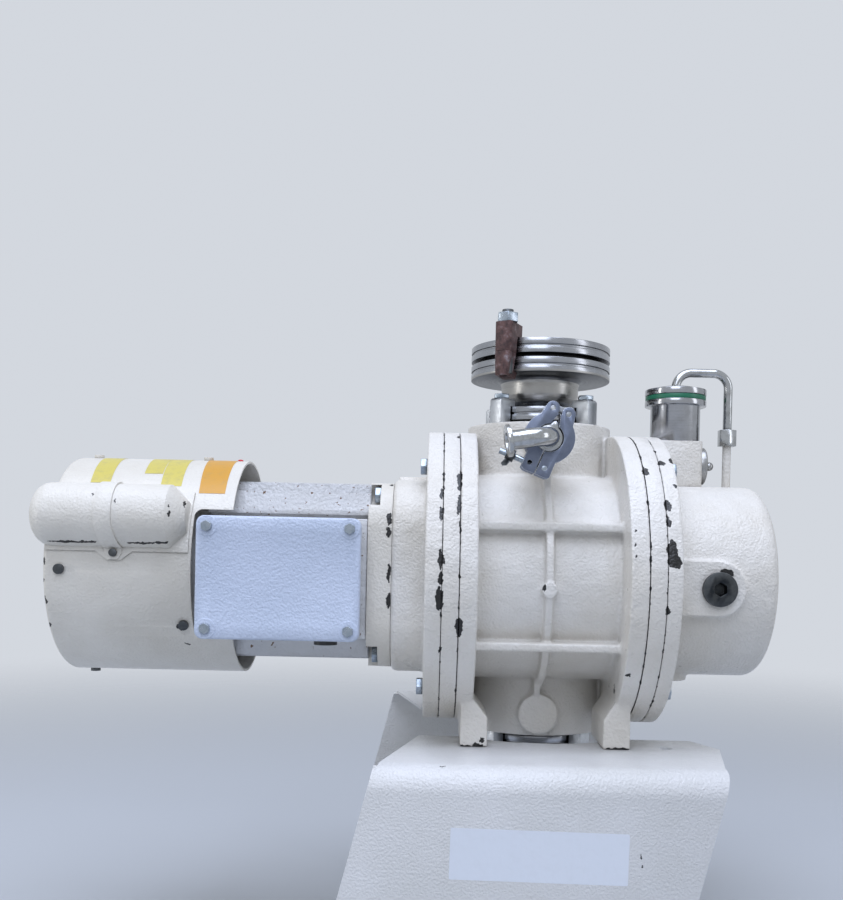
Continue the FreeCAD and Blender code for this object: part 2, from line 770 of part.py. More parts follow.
# Claws: each hooks over the rim of a small flange and is bolted to the casing.
def claw(angle, base, up):
    overlap = small_flange_radius
    step = port_ring_gap + port_flange_thickness + seat_gap
    profile = [
        (overlap + 1.2, 0),
        (claw_outer, 0),
        (claw_outer, claw_height - 2),
        (claw_outer - 2, claw_height),
        (claw_inner, claw_height),
        (claw_inner, step),
        (overlap + 1.2, step),
    ]
    points = [vec(r, -claw_width / 2, base + up * h) for r, h in profile]
    solid = prism(points, vec(0, claw_width, 0))
    middle = (claw_inner + claw_outer) / 2 + 1.5
    hole = rod_z(min(base, base + up * claw_height) - 1, max(base, base + up * claw_height) + 1, claw_bolt_radius + 0.3, middle)
    solid = solid.cut(hole)
    solid.rotate(vec(0, 0, 0), AXIS_Z, angle)
    return solid


claws = []
claw_bolts = []
for number in range(4):
    claw_turn = claw_angle + 90 * number
    claws.append(claw(claw_turn, inlet_top, 1))
    claws.append(claw(claw_turn, outlet_pad, -1))
for claw_x, claw_y in claw_centres():
    top_seat = vec(claw_x, claw_y, inlet_top + claw_height)
    claw_bolts.append(hex_bolt(top_seat, AXIS_Z * -1, claw_bolt_radius, 13.0, claw_height + 16, 4.0))
    low_seat = vec(claw_x, claw_y, outlet_pad - claw_height)
    claw_bolts.append(hex_bolt(low_seat, AXIS_Z, claw_bolt_radius, 13.0, claw_height + 16, 4.0))
save("single_claws", *claws)
save("claw_bolts", *claw_bolts)


stud_radius = 5.0


# Double claw: two jaws on one stud that pull the large flanges together. The stud is
# screwed into the lower jaw.
def jaw(flange_face, outer_face, meeting, tip_width):
    direction = 1 if outer_face > meeting else -1
    step = flange_face + direction * seat_gap
    profile = [
        (large_flange_radius + 0.8, meeting),
        (double_claw_stud + 9, meeting),
        (double_claw_stud + 8, outer_face),
        (large_flange_radius - 9, outer_face),
        (large_flange_radius - 11, step),
        (large_flange_radius + 0.8, step),
    ]
    half = double_claw_width / 2
    points = [vec(r, -half, z) for r, z in profile]
    solid = prism(points, vec(0, double_claw_width, 0))
    low, high = sorted((meeting, outer_face))
    rounded = block(0, double_claw_stud + 9, -half, half, low, high)
    corners = [e for e in rounded.Edges if e.BoundBox.XMin > 1 and e.BoundBox.ZLength > 1]
    solid = solid.common(rounded.makeFillet(double_claw_rounding, corners))
    for side in (-1, 1):
        wedge = [
            vec(0, side * half, meeting),
            vec(0, side * (half + 5), meeting),
            vec(0, side * (half + 5), outer_face + direction),
            vec(0, side * tip_width / 2, outer_face + direction),
        ]
        solid = solid.cut(prism(wedge, vec(120, 0, 0)))
    solid = solid.cut(rod_z(low - 1, high + 1, stud_radius + 0.3, double_claw_stud))
    solid.rotate(vec(0, 0, 0), AXIS_Z, double_claw_angle)
    return solid


claw_middle = (large_top + blank_bottom) / 2
upper_outer = blank_top + 11
lower_outer = large_bottom - 6
upper_jaw = jaw(blank_top, upper_outer, claw_middle + seat_gap / 2, double_claw_width + 1.5)
lower_jaw = jaw(large_bottom, lower_outer, claw_middle - seat_gap / 2, double_claw_tip)
save("double_claw", upper_jaw, lower_jaw)

stud_turn = math.radians(double_claw_angle)
stud_x = double_claw_stud * math.cos(stud_turn)
stud_y = double_claw_stud * math.sin(stud_turn)
nut_height = 8.0
stud = rod_z(lower_outer + 2, upper_outer + nut_height + 3.2, stud_radius, stud_x, stud_y)
stud_nut = hexagon(vec(stud_x, stud_y, upper_outer), AXIS_Z, 17.0, nut_height)
stud_nut = stud_nut.cut(rod_z(upper_outer, upper_outer + nut_height, stud_radius, stud_x, stud_y))
save("claw_stud", stud, stud_nut)

# Purge port: a steel stub screwed into the casing, and an elbow clamped to it.
cone = 2.2


def purge_disc(face, outward):
    """A clamped flange disc: flat face at `face`, its back tapered away along outward."""
    flat = 3.0
    disc = Part.makeCylinder(purge_flange_radius, flat, vec(purge_x, face, purge_axis_z), AXIS_Y * outward)
    back = vec(purge_x, face + outward * flat, purge_axis_z)
    taper = Part.makeCone(purge_flange_radius, purge_flange_radius - 6, cone, back, AXIS_Y * outward)
    return disc.fuse(taper)


purge_port = purge_disc(-purge_face, 1)
purge_port = purge_port.fuse(rod_y(-purge_face, -purge_face + 20, purge_tube_radius, purge_x, purge_axis_z))
purge_port = purge_port.fuse(rod_y(-purge_face + 20, -purge_face + 31, purge_thread, purge_x, purge_axis_z))
purge_port = purge_port.removeSplitter()
save("purge_port", purge_port.cut(rod_y(-purge_face - 1, -purge_face + 40, purge_bore, purge_x, purge_axis_z)))

elbow_face = -purge_face - purge_gap
elbow_dir = vec(-elbow_reach, -elbow_forward, -elbow_drop)
elbow_length = elbow_dir.Length
elbow_dir.normalize()


def elbow_path():
    start = vec(purge_x, elbow_face, purge_axis_z)
    turn_start = vec(purge_x, elbow_face - 8, purge_axis_z)
    half_turn = AXIS_Y.getAngle(elbow_dir * -1) / 2
    tangent = elbow_bend * math.tan(half_turn)
    corner = turn_start - AXIS_Y * tangent
    turn_end = corner + elbow_dir * tangent
    inward = (turn_start + turn_end) * 0.5 - corner
    inward.normalize()
    middle = corner + inward * (elbow_bend / math.cos(half_turn) - elbow_bend)
    end = corner + elbow_dir * elbow_length
    return start, turn_start, middle, turn_end, end


def elbow_sweep(radius):
    start, turn_start, middle, turn_end, end = elbow_path()
    path = Part.Wire([
        Part.LineSegment(start, turn_start).toShape(),
        Part.Arc(turn_start, middle, turn_end).toShape(),
        Part.LineSegment(turn_end, end).toShape(),
    ])
    circle = Part.Wire([Part.makeCircle(radius, start, AXIS_Y)])
    return path.makePipeShell([circle], True, True)


elbow = elbow_sweep(purge_tube_radius).fuse(purge_disc(elbow_face, -1))
elbow_end = elbow_path()[4]
elbow = elbow.fuse(Part.makeCylinder(elbow_flange_radius, 3.4, elbow_end - elbow_dir * 3.4, elbow_dir))
elbow = elbow.removeSplitter()
elbow = elbow.cut(elbow_sweep(purge_bore))
save("purge_elbow", elbow)


# Clamp: two halves that meet over both flanges. Local axes: v across the split, u along it.
clamp_centre_y = -purge_face - purge_gap / 2
clamp_y0 = clamp_centre_y - clamp_thickness / 2
tilt = math.radians(clamp_tilt)


def clamp_point(v, u, y=clamp_y0):
    x = purge_x + v * math.cos(tilt) + u * math.sin(tilt)
    z = purge_axis_z - v * math.sin(tilt) + u * math.cos(tilt)
    return vec(x, y, z)


def clamp_rod(v, u, radius, y0=clamp_y0, depth=clamp_thickness):
    return Part.makeCylinder(radius, depth, clamp_point(v, u, y0), AXIS_Y)


def clamp_prism(points, y0=clamp_y0, depth=clamp_thickness):
    return prism([clamp_point(v, u, y0) for v, u in points], vec(0, depth, 0))


clamp_split = 0.5
clamp_flat = purge_gap + 6.0
clamp_clear = 0.35


def clamp_groove():
    radius = purge_flange_radius + clamp_clear
    groove = Part.makeCylinder(radius, clamp_flat + 2 * clamp_clear, clamp_point(0, 0, clamp_centre_y - clamp_flat / 2 - clamp_clear), AXIS_Y)
    for outward in (-1, 1):
        base = clamp_point(0, 0, clamp_centre_y + outward * (clamp_flat / 2 + clamp_clear))
        groove = groove.fuse(Part.makeCone(radius, radius - 6, cone, base, AXIS_Y * outward))
    return groove.fuse(clamp_rod(0, 0, purge_flange_radius - 3.5))


def clamp_half(side):
    inner = side * clamp_split
    body = clamp_rod(0, 0, clamp_outer)
    eye_v = side * clamp_eye_offset
    neck = [
        (side * 2.2, 14.0),
        (side * 14.5, 12.0),
        (eye_v + side * clamp_eye_radius, clamp_eye_height),
        (eye_v - side * clamp_eye_radius * 0.8, clamp_eye_height),
    ]
    foot = [
        (inner, -12.0),
        (side * 12.2, -14.0),
        (side * 12.2, -clamp_foot + 1.5),
        (side * 9.5, -clamp_foot),
        (inner, -clamp_foot),
    ]
    body = body.fuse(clamp_prism(neck)).fuse(clamp_prism(foot))
    body = body.fuse(clamp_rod(eye_v, clamp_eye_height, clamp_eye_radius))
    keep = clamp_prism([(inner, -50), (side * 60, -50), (side * 60, 60), (inner, 60)])
    body = body.common(keep).removeSplitter()
    # The top ends stand well apart so that the halves can swing open.
    body = body.cut(clamp_prism([(0, 9), (side * 4.4, 9), (side * 1.0, 20), (0, 20)]))
    body = body.cut(clamp_groove())
    pin_hole = clamp_pin_radius + running_clearance
    body = body.cut(clamp_rod(eye_v, clamp_eye_height, pin_hole, clamp_y0 - 1, clamp_thickness + 2))
    # A slot for the link between the eyes, and one for the bolt between the feet.
    link_half = 3.4
    slot_y0 = clamp_centre_y - link_half
    slot = [(-30, clamp_eye_height - 7.2), (30, clamp_eye_height - 7.2), (30, 40), (-30, 40)]
    body = body.cut(clamp_prism(slot, slot_y0, 2 * link_half))
    bolt_y0 = clamp_centre_y - clamp_slot / 2
    bolt_slot = [(-30, -swing_pin_height + 4.6), (30, -swing_pin_height + 4.6), (30, -60), (-30, -60)]
    return body.cut(clamp_prism(bolt_slot, bolt_y0, clamp_slot))


fixed_half = clamp_half(-1)
fixed_half = fixed_half.cut(clamp_rod(-7.1, -swing_pin_height, clamp_pin_radius, clamp_y0 - 1, clamp_thickness + 2))
swing_half = clamp_half(1)
hole = clamp_pin_radius + running_clearance
swing_half = swing_half.cut(clamp_rod(swing_pin_offset, -swing_pin_height, hole, clamp_y0 - 1, clamp_thickness + 2))
save("clamp_fixed_half", fixed_half)
save("clamp_swing_half", swing_half)

# Link between the eyes with its two pins.
link_thickness = 6.0
link_y0 = clamp_centre_y - link_thickness / 2
link_plate = clamp_prism([
    (-clamp_eye_offset, clamp_eye_height - 4.2),
    (clamp_eye_offset, clamp_eye_height - 4.2),
    (clamp_eye_offset, clamp_eye_height + 4.2),
    (-clamp_eye_offset, clamp_eye_height + 4.2),
], link_y0, link_thickness)
for eye in (-clamp_eye_offset, clamp_eye_offset):
    link_plate = link_plate.fuse(clamp_rod(eye, clamp_eye_height, 4.2, link_y0, link_thickness))
    link_plate = link_plate.fuse(clamp_rod(eye, clamp_eye_height, clamp_pin_radius))
save("clamp_link", link_plate.removeSplitter())

# Swing bolt: an eye on its own pin in the foot of the swinging half, and a threaded shank.
bolt_eye = clamp_rod(swing_pin_offset, -swing_pin_height, 4.0, clamp_centre_y - 2.8, 5.6)
shank_start = clamp_point(swing_pin_offset, -swing_pin_height, clamp_centre_y)
shank_dir = clamp_point(0, 0) - clamp_point(1, 0)
swing_bolt = bolt_eye.fuse(Part.makeCylinder(swing_bolt_radius, swing_bolt_length, shank_start, shank_dir))
swing_bolt = swing_bolt.fuse(clamp_rod(swing_pin_offset, -swing_pin_height, clamp_pin_radius)).removeSplitter()
save("swing_bolt", swing_bolt)

# Wing nut, unscrewed some way from the clamp foot, as it stands on the object.
nut_place = 20.0
nut_start = clamp_point(-nut_place, -swing_pin_height, clamp_centre_y)
wing_nut = Part.makeCone(5.2, 4.2, 7.0, nut_start, shank_dir)
for side in (-1, 1):
    wing = []
    for along, out in ((0.5, 2.0), (3.0, 9.0), (6.0, 10.5), (8.0, 9.0), (6.0, 3.0)):
        wing.append((-nut_place - along, -swing_pin_height + side * out))
    wing_nut = wing_nut.fuse(clamp_prism(wing, clamp_centre_y - 1.2, 2.4))
nut_bore = Part.makeCylinder(swing_bolt_radius + running_clearance, 12, nut_start - shank_dir, shank_dir)
save("wing_nut", wing_nut.removeSplitter().cut(nut_bore))

# Vent block on top of the gear cover, with a round steel disc on its side.
drum_top = axis_height + gear_drum_radius
vent_block_z = axis_height + vent_block_top
vent_y0 = vent_y - vent_block_width / 2
vent_block = block(gear_flange_right + seat_gap, vent_block_right, vent_y0, vent_y0 + vent_block_width, drum_top, vent_block_z)
vertical = [e for e in vent_block.Edges if abs(e.BoundBox.ZLength) > 10 and e.BoundBox.XMin > vent_block_right - 1]
vent_block = vent_block.makeFillet(5.0, vertical)
vent_block = vent_block.cut(rod_z(vent_block_z - 8, vent_block_z + 1, 9.0, canister_x, vent_y))
save("vent_block", vent_block)

disc_z = axis_height + side_disc_rise
side_disc = rod_x(vent_block_right, vent_block_right + 6, side_disc_radius, vent_y, disc_z)
side_disc = side_disc.makeChamfer(1.0, end_edges(side_disc, vent_block_right + 6))
side_disc = side_disc.fuse(rod_x(vent_block_right + 6, vent_block_right + 9, 3.2, vent_y, disc_z))
side_disc = side_disc.fuse(Part.makeSphere(4.0, vec(vent_block_right + 11, vent_y, disc_z))).removeSplitter()
save("side_disc", side_disc)

canister_foot = vent_block_z
ring_z0 = axis_height + canister_ring_rise
ring_z1 = ring_z0 + canister_ring_thickness
lid_z0 = ring_z1 + canister_seal
lid_z1 = lid_z0 + canister_lid_thickness
canister = ring_z(canister_foot, ring_z0, canister_body_radius, canister_body_radius - 1.5, canister_x, vent_y)
canister = canister.fuse(rod_z(canister_foot, canister_foot + 2, canister_body_radius, canister_x, vent_y))
canister = canister.fuse(ring_z(ring_z0, ring_z1, canister_ring_radius, canister_body_radius - 1.5, canister_x, vent_y))
canister = canister.fuse(rod_z(canister_foot - 7, canister_foot, 8.6, canister_x, vent_y)).removeSplitter()
save("canister", canister.cut(rod_z(canister_foot - 8, canister_foot + 3, 5.0, canister_x, vent_y)))

oring_outer = canister_ring_radius - 0.4
oring = ring_z(ring_z1, lid_z0, oring_outer, oring_outer - canister_seal, canister_x, vent_y)
save("canister_oring", oring)

canister_lid = rod_z(lid_z0, lid_z1, canister_ring_radius, canister_x, vent_y)
canister_lid = canister_lid.fuse(
    Part.makeCone(canister_body_radius, canister_body_radius - 4, canister_lid_dome, vec(canister_x, vent_y, lid_z1), AXIS_Z)
).removeSplitter()
tube_start = lid_z1 + canister_lid_dome
canister_lid = canister_lid.cut(rod_z(lid_z0 - 1, tube_start + 1, vent_tube_radius - 1, canister_x, vent_y))
save("canister_lid", canister_lid)

# Vent tube: out of the lid, over to the right and down into a screwed joint on a riser.
tube_top = axis_height + vent_tube_top
nut_bottom = axis_height + vent_nut_bottom
nut_top = nut_bottom + vent_nut_height


def vent_tube(radius):
    bend = vent_tube_bend
    inset = bend * (1 - math.sqrt(0.5))
    a = vec(canister_x, vent_y, tube_start)
    b = vec(canister_x, vent_y, tube_top - bend)
    b_mid = vec(canister_x + inset, vent_y, tube_top - inset)
    c = vec(canister_x + bend, vent_y, tube_top)
    d = vec(vent_tube_x - bend, vent_y, tube_top)
    d_mid = vec(vent_tube_x - inset, vent_y, tube_top - inset)
    e = vec(vent_tube_x, vent_y, tube_top - bend)
    f = vec(vent_tube_x, vent_y, nut_top)
    path = Part.Wire([
        Part.LineSegment(a, b).toShape(),
        Part.Arc(b, b_mid, c).toShape(),
        Part.LineSegment(c, d).toShape(),
        Part.Arc(d, d_mid, e).toShape(),
        Part.LineSegment(e, f).toShape(),
    ])
    circle = Part.Wire([Part.makeCircle(radius, a, AXIS_Z)])
    return path.makePipeShell([circle], True, True)


tube_nut = hexagon(vec(vent_tube_x, vent_y, nut_bottom), AXIS_Z, 15.0, nut_top - nut_bottom)
tube_nut = tube_nut.cut(rod_z(nut_bottom - 1, nut_top + 1, vent_tube_radius - 1, vent_tube_x, vent_y))
save("vent_tube", vent_tube(vent_tube_radius).cut(vent_tube(vent_tube_radius - 1)), tube_nut)
save("vent_riser", ring_z(drum_top, nut_bottom, vent_tube_radius - 0.2, vent_tube_radius - 1, vent_tube_x, vent_y))

# Motor flange that carries the motor on the coupling housing.
motor_face = drive_housing_left
motor_flange_left = motor_face - motor_flange_thickness
motor_bearing_radius = 26.0
motor_bearing_width = 15.0
motor_bolt_room = 9.0
motor_boss_radius = 66.0
motor_boss_length = 8.0


def motor_flange():
    flange = rounded_square_x(motor_flange_left, motor_face, motor_flange_half, motor_flange_corner)
    boss_left = motor_flange_left - motor_boss_length
    flange = flange.cut(rod_x(motor_face - 3, motor_face + 1, 54.0))
    flange = flange.fuse(rod_x(boss_left, motor_flange_left + 1, motor_boss_radius)).removeSplitter()
    flange = flange.cut(rod_x(boss_left - 1, motor_face, motor_shaft_radius + 4))
    flange = flange.cut(rod_x(boss_left - 1, boss_left + motor_bearing_width, motor_bearing_radius))
    # Each bolt head sits in a recess that is open to the side, and below the lower pair.
    edge = motor_flange_half + 1
    x0 = motor_flange_left - 1
    x1 = motor_flange_left + motor_bolt_recess
    for point in motor_bolt_points(x0):
        side = 1 if point.y > drive_y else -1
        y0, y1 = sorted((point.y, drive_y + side * edge))
        flange = flange.cut(rod_x(x0, x1, motor_bolt_room, point.y, point.z))
        flange = flange.cut(block(x0, x1, y0, y1, point.z - motor_bolt_room, point.z + motor_bolt_room))
        if point.z < axis_height:
            y0, y1 = sorted((point.y - side * motor_bolt_room, drive_y + side * edge))
            flange = flange.cut(block(x0, x1, y0, y1, axis_height - edge, point.z + motor_bolt_room))
        flange = flange.cut(Part.makeCylinder(4.3, motor_flange_thickness + 2, point, AXIS_X))
    return flange


save("motor_flange", motor_flange())
motor_bolts = []
for point in motor_bolt_points(motor_flange_left + motor_bolt_recess):
    shank = motor_flange_thickness - motor_bolt_recess + 14
    motor_bolts.append(hex_bolt(point, AXIS_X, 4.0, 13.0, shank, 5.5))
save("motor_bolts", *motor_bolts)


ledge_step = 13.0


def largest(shape):
    return max(shape.Solids, key=lambda s: s.Volume)


# Motor housing: a die-cast shell with cooling ledges along it.
def motor_housing():
    x0 = motor_left
    x1 = motor_flange_left
    shell = rod_x(x0, x1, stator_outer + 7)
    reaches = (motor_half, motor_half, motor_half, motor_half - 3, motor_half - 9)
    for index in range(-4, 5):
        offset = index * ledge_step
        reach = reaches[abs(index)]
        for upward in (-1, 1):
            rise = reach if upward > 0 else min(reach, motor_underside)
            z0, z1 = sorted((axis_height, axis_height + upward * rise))
            shell = shell.fuse(block(x0, x1, drive_y + offset - 2, drive_y + offset + 2, z0, z1))
            y0, y1 = sorted((drive_y, drive_y + upward * (reach - 4)))
            shell = shell.fuse(block(x0, x1, y0, y1, axis_height + offset - 2, axis_height + offset + 2))
    shell = largest(shell.removeSplitter())
    boss_left = x1 - motor_boss_length
    shell = shell.cut(rod_x(x0 - 1, boss_left, stator_outer))
    return shell.cut(rod_x(boss_left - 0.3, x1 + 1, motor_boss_radius))


save("motor_housing", motor_housing())

# Rear shield with three lugs that hold the fan cowl.
lug_angles = (-30.0, 90.0, 210.0)
lug_x = motor_left - rear_shield_depth + 7
shield_left = motor_left - rear_shield_depth
cowl_z = axis_height + cowl_rise
cowl_inner = cowl_radius - cowl_wall
lid_z = axis_height + lid_centre_rise


def rear_shield():
    shield = rod_x(shield_left, motor_left, stator_outer + 7)
    for angle in lug_angles:
        lug = Part.makeCylinder(6.0, cowl_inner - 40, vec(lug_x, drive_y, cowl_z), AXIS_Z)
        lug.translate(vec(0, 0, 40))
        lug.rotate(vec(lug_x, drive_y, cowl_z), AXIS_X, angle - 90)
        shield = shield.fuse(lug)
    limit = rod_x(lug_x - 20, motor_left, cowl_inner, drive_y, cowl_z)
    shield = shield.common(limit).removeSplitter()
    shield = shield.cut(rod_x(motor_left - motor_bearing_width, motor_left + 1, motor_bearing_radius))
    return shield.cut(rod_x(shield_left - 1, motor_left, motor_shaft_radius + 4))


save("motor_rear_shield", rear_shield())

stator_x0 = motor_left + 25
stator_x1 = motor_flange_left - 30
stator = ring_x(stator_x0, stator_x1, stator_outer, stator_inner)
stator = stator.fuse(ring_x(stator_x0 - 15, stator_x0, stator_outer - 4, stator_inner + 2))
stator = stator.fuse(ring_x(stator_x1, stator_x1 + 15, stator_outer - 4, stator_inner + 2))
save("stator", stator.removeSplitter())

fan_x1 = shield_left - fan_shield_gap
fan_x0 = fan_x1 - fan_width
fan_radius = cowl_inner - cowl_rise - fan_tip_gap
cowl_left = fan_x0 - fan_air_space
cowl_right = motor_left + cowl_overlap
shaft = rod_x(fan_x0 - 4, motor_shaft_right, motor_shaft_radius)
save("motor_rotor", shaft.fuse(rod_x(stator_x0, stator_x1, stator_inner - air_gap)).removeSplitter())

front_bearing = motor_flange_left - motor_boss_length
motor_bearings = [
    ring_x(front_bearing, front_bearing + motor_bearing_width, motor_bearing_radius, motor_shaft_radius + running_clearance),
    ring_x(motor_left - motor_bearing_width, motor_left, motor_bearing_radius, motor_shaft_radius + running_clearance),
]
save("motor_bearings", *motor_bearings)


# Cooling fan: a hub with straight radial blades.
def cooling_fan():
    fan = rod_x(fan_x0, fan_x1, motor_shaft_radius + 10).fuse(rod_x(fan_x1 - 3, fan_x1, fan_radius - 10))
    blades = 8
    for index in range(blades):
        blade = block(fan_x0, fan_x1 - 2, drive_y - 1.2, drive_y + 1.2, axis_height, axis_height + fan_radius)
        blade.rotate(vec(0, drive_y, axis_height), AXIS_X, 360.0 * index / blades)
        fan = fan.fuse(blade)
    fan = fan.removeSplitter()
    return fan.cut(rod_x(fan_x0 - 1, fan_x1 + 1, motor_shaft_radius))


save("cooling_fan", cooling_fan())


# Coupling: two hubs with dogs that reach past each other across a rubber spider.
dog_radius = 30.0
pump_hub_face = pump_shaft_left
motor_hub_face = motor_shaft_right
coupling_gap = pump_hub_face - motor_hub_face
dog_angle = 34.0


def coupling_hub(face, direction, length, phase):
    x0, x1 = sorted((face, face + direction * length))
    hub = rod_x(x0, x1, dog_radius)
    d0, d1 = sorted((face, face - direction * (coupling_gap - 1)))
    for index in range(3):
        hub = hub.fuse(coupling_sector(d0, d1, phase + 120 * index, dog_angle))
    return hub.removeSplitter()


def coupling_sector(x0, x1, start, span):
    sector = Part.makeCylinder(dog_radius, x1 - x0, vec(x0, drive_y, axis_height), AXIS_X, span)
    sector.rotate(vec(0, drive_y, axis_height), AXIS_X, start)
    return sector.cut(rod_x(x0, x1, 14.0))


hub_length = 9.0
pump_hub = coupling_hub(pump_hub_face, 1, hub_length, 0)
pump_hub = pump_hub.cut(rod_x(pump_shaft_left, 0, shaft_radius))
motor_hub = coupling_hub(motor_hub_face, -1, hub_length, 60)
motor_hub = motor_hub.cut(rod_x(motor_hub_face - 20, motor_hub_face, motor_shaft_radius))
save("pump_coupling_hub", pump_hub)
save("motor_coupling_hub", motor_hub)

spider_x0 = motor_hub_face + seat_gap
spider_x1 = pump_hub_face - seat_gap
spider = rod_x(spider_x0, spider_x1, 13.5)
for index in range(6):
    leg = Part.makeCylinder(dog_radius - 1, spider_x1 - spider_x0, vec(spider_x0, drive_y, axis_height), AXIS_X, 22)
    leg.rotate(vec(0, drive_y, axis_height), AXIS_X, dog_angle + 2 + 60 * index)
    spider = spider.fuse(leg)
save("coupling_spider", spider.removeSplitter())


# Fan cowl: a rolled sheet cylinder with an air grille, cut away round the terminal box.
def fan_cowl():
    cowl = rod_x(cowl_left, cowl_right, cowl_radius, drive_y, cowl_z)
    cowl = cowl.makeFillet(4.0, end_edges(cowl, cowl_left))
    cowl = cowl.cut(rod_x(cowl_left + cowl_wall, cowl_right + 1, cowl_inner, drive_y, cowl_z))
    # The cut-away follows the terminal box's lid.
    low = lid_z - lid_height / 2 - 0.8
    high = lid_z + lid_height / 2 + 5.4
    notch = block(lid_left - 6.4, cowl_right + 10, drive_y - 150, drive_y - 40, low, high)
    corners = [e for e in notch.Edges if e.BoundBox.YLength > 1 and e.BoundBox.XMax < lid_left]
    cowl = cowl.cut(notch.makeFillet(6.5, corners))
    for level in range(-3, 4):
        slot_z = cowl_z + level * 16.0
        reach = math.sqrt(72.0 ** 2 - (level * 16.0) ** 2) - 4
        for y0, y1 in ((drive_y - reach, drive_y - 4), (drive_y + 4, drive_y + reach)):
            cowl = cowl.cut(block(cowl_left - 1, cowl_left + cowl_wall + 1, y0, y1, slot_z - 4, slot_z + 4))
    for x, angle in cowl_screw_places:
        cowl = cowl.cut(radial_rod(x, angle, cowl_inner - 2, 6, 2.3))
    return cowl


rear_screw_x = cowl_left + 14.0
cowl_screw_places = [(lug_x, angle) for angle in lug_angles]
cowl_screw_places += [(rear_screw_x, angle) for angle in (-2.0, 90.0, 180.0, 270.0)]


def radial_rod(x, angle, start, length, radius):
    """A rod that points away from the cowl axis; 0 degrees is the front, 90 the top."""
    rad = math.radians(angle)
    direction = vec(0, -math.cos(rad), math.sin(rad))
    return Part.makeCylinder(radius, length, vec(x, drive_y, cowl_z) + direction * start, direction)


save("fan_cowl", fan_cowl())

motor_screws = []
for screw_x, screw_angle in cowl_screw_places:
    head = radial_rod(screw_x, screw_angle, cowl_radius + 0.1, 3.0, 4.2)
    depth = 1.8 if screw_x == lug_x else 6.0
    shank = radial_rod(screw_x, screw_angle, cowl_radius - depth, depth + 1, 2.2)
    motor_screws.append(head.fuse(shank).removeSplitter())


# Capacitor under a pressed cover on the cowl, held by a strap. The cover's base sheet lies
# on the cowl and has an ear below, where one screw holds the base and the strap.
cover_left = cowl_left - cover_overhang
cover_right = cover_left + cover_length
cover_reach = cowl_radius + cover_lift
cover_y = drive_y - cover_reach * math.cos(math.radians(cover_angle))
cover_z = cowl_z + cover_reach * math.sin(math.radians(cover_angle))
cowl_seat = cowl_radius + seat_gap / 2
base_top = cowl_seat + cover_sheet
capacitor_radius = 12.0
cover_wall = 2.5
cover_rounding = 16.0
cover_slope = 13.0
ear_x = cover_left + 66.1
ear_angle = cover_angle - 18.5
ear_z = cowl_z + base_top * math.sin(math.radians(ear_angle))
ear_half = 5.5
ear_screw_hole = 2.3


def around_cowl(radius):
    return rod_x(cover_left - 30, cowl_right, radius, drive_y, cowl_z)


def from_front(points):
    """A prism along Y whose outline is given as it is seen from the front."""
    return prism([vec(x, drive_y, z) for x, z in points], vec(0, -2 * cowl_radius, 0))


def capacitor_cover():
    r = cover_capsule_radius
    body = rod_x(cover_left, cover_right, r, cover_y, cover_z)
    body = body.makeFillet(cover_rounding, end_edges(body, cover_left))
    body = body.makeChamfer(cover_slope, end_edges(body, cover_right))
    low = cover_z - r - cover_lip
    high = cover_z + r * 0.8
    left = cover_left + 10
    right = cover_right + 1.5
    outline = [
        (left, low),
        (ear_x - 2.7 * ear_half, low),
        (ear_x - ear_half, ear_z - ear_half),
        (ear_x + ear_half, ear_z - ear_half),
        (ear_x + 2.7 * ear_half, low),
        (right, low),
        (right, high),
        (left, high),
    ]
    base = around_cowl(base_top).common(from_front(outline))
    body = body.fuse(base).cut(around_cowl(cowl_seat)).removeSplitter()
    body = body.cut(radial_rod(ear_x, ear_angle, cowl_radius - 4, 8, ear_screw_hole))
    inside = rod_x(cover_left + cover_rounding, cover_right - cover_slope - 2, r - cover_wall, cover_y, cover_z)
    return largest(body.cut(inside))


save("capacitor_cover", capacitor_cover())
ear_seat = base_top + 0.1 + strap_sheet
ear_screw = radial_rod(ear_x, ear_angle, ear_seat + 0.1, 2.4, 3.2)
ear_screw = ear_screw.fuse(radial_rod(ear_x, ear_angle, cowl_radius + 0.4, 4, 2.2)).removeSplitter()
motor_screws.append(ear_screw)

capacitor_reach = cowl_radius + seat_gap + capacitor_radius
capacitor_y = drive_y - capacitor_reach * math.cos(math.radians(cover_angle))
capacitor_z = cowl_z + capacitor_reach * math.sin(math.radians(cover_angle))
save("capacitor", rod_x(cover_left + 18, cover_right - 24, capacitor_radius, capacitor_y, capacitor_z))


def cover_strap():
    strap_left = cover_left + 55.0
    strap_right = strap_left + strap_width
    under = cover_capsule_radius + 0.1
    band = rod_x(cover_left, cover_right, under + strap_sheet, cover_y, cover_z)
    tab = around_cowl(ear_seat)
    outline = [
        (strap_left, cover_z + 2 * cover_capsule_radius),
        (strap_left, cover_z - 6),
        (ear_x - ear_half - 1.5, ear_z),
        (ear_x - 3.5, ear_z - ear_half + 0.5),
        (ear_x + 3.5, ear_z - ear_half + 0.5),
        (ear_x + ear_half + 1, ear_z),
        (ear_x + ear_half + 1, ear_z + 5),
        (strap_right, cover_z - 8),
        (strap_right, cover_z + 2 * cover_capsule_radius),
    ]
    strap = band.fuse(tab).common(from_front(outline))
    strap = strap.cut(rod_x(cover_left, cover_right, under, cover_y, cover_z))
    strap = strap.cut(around_cowl(base_top + 0.1))
    strap = strap.cut(block(cover_left, cover_right, cover_y + 8, drive_y, cover_z, cover_z + 100))
    strap = strap.cut(radial_rod(ear_x, ear_angle, cowl_radius, 8, ear_screw_hole))
    return largest(strap)


save("cover_strap", cover_strap())


# Terminal box on the front of the motor, its lid and four screws.
lid_right = lid_left + lid_width
box_front = -(lid_front - lid_thickness)
box_back = drive_y - motor_half + 4


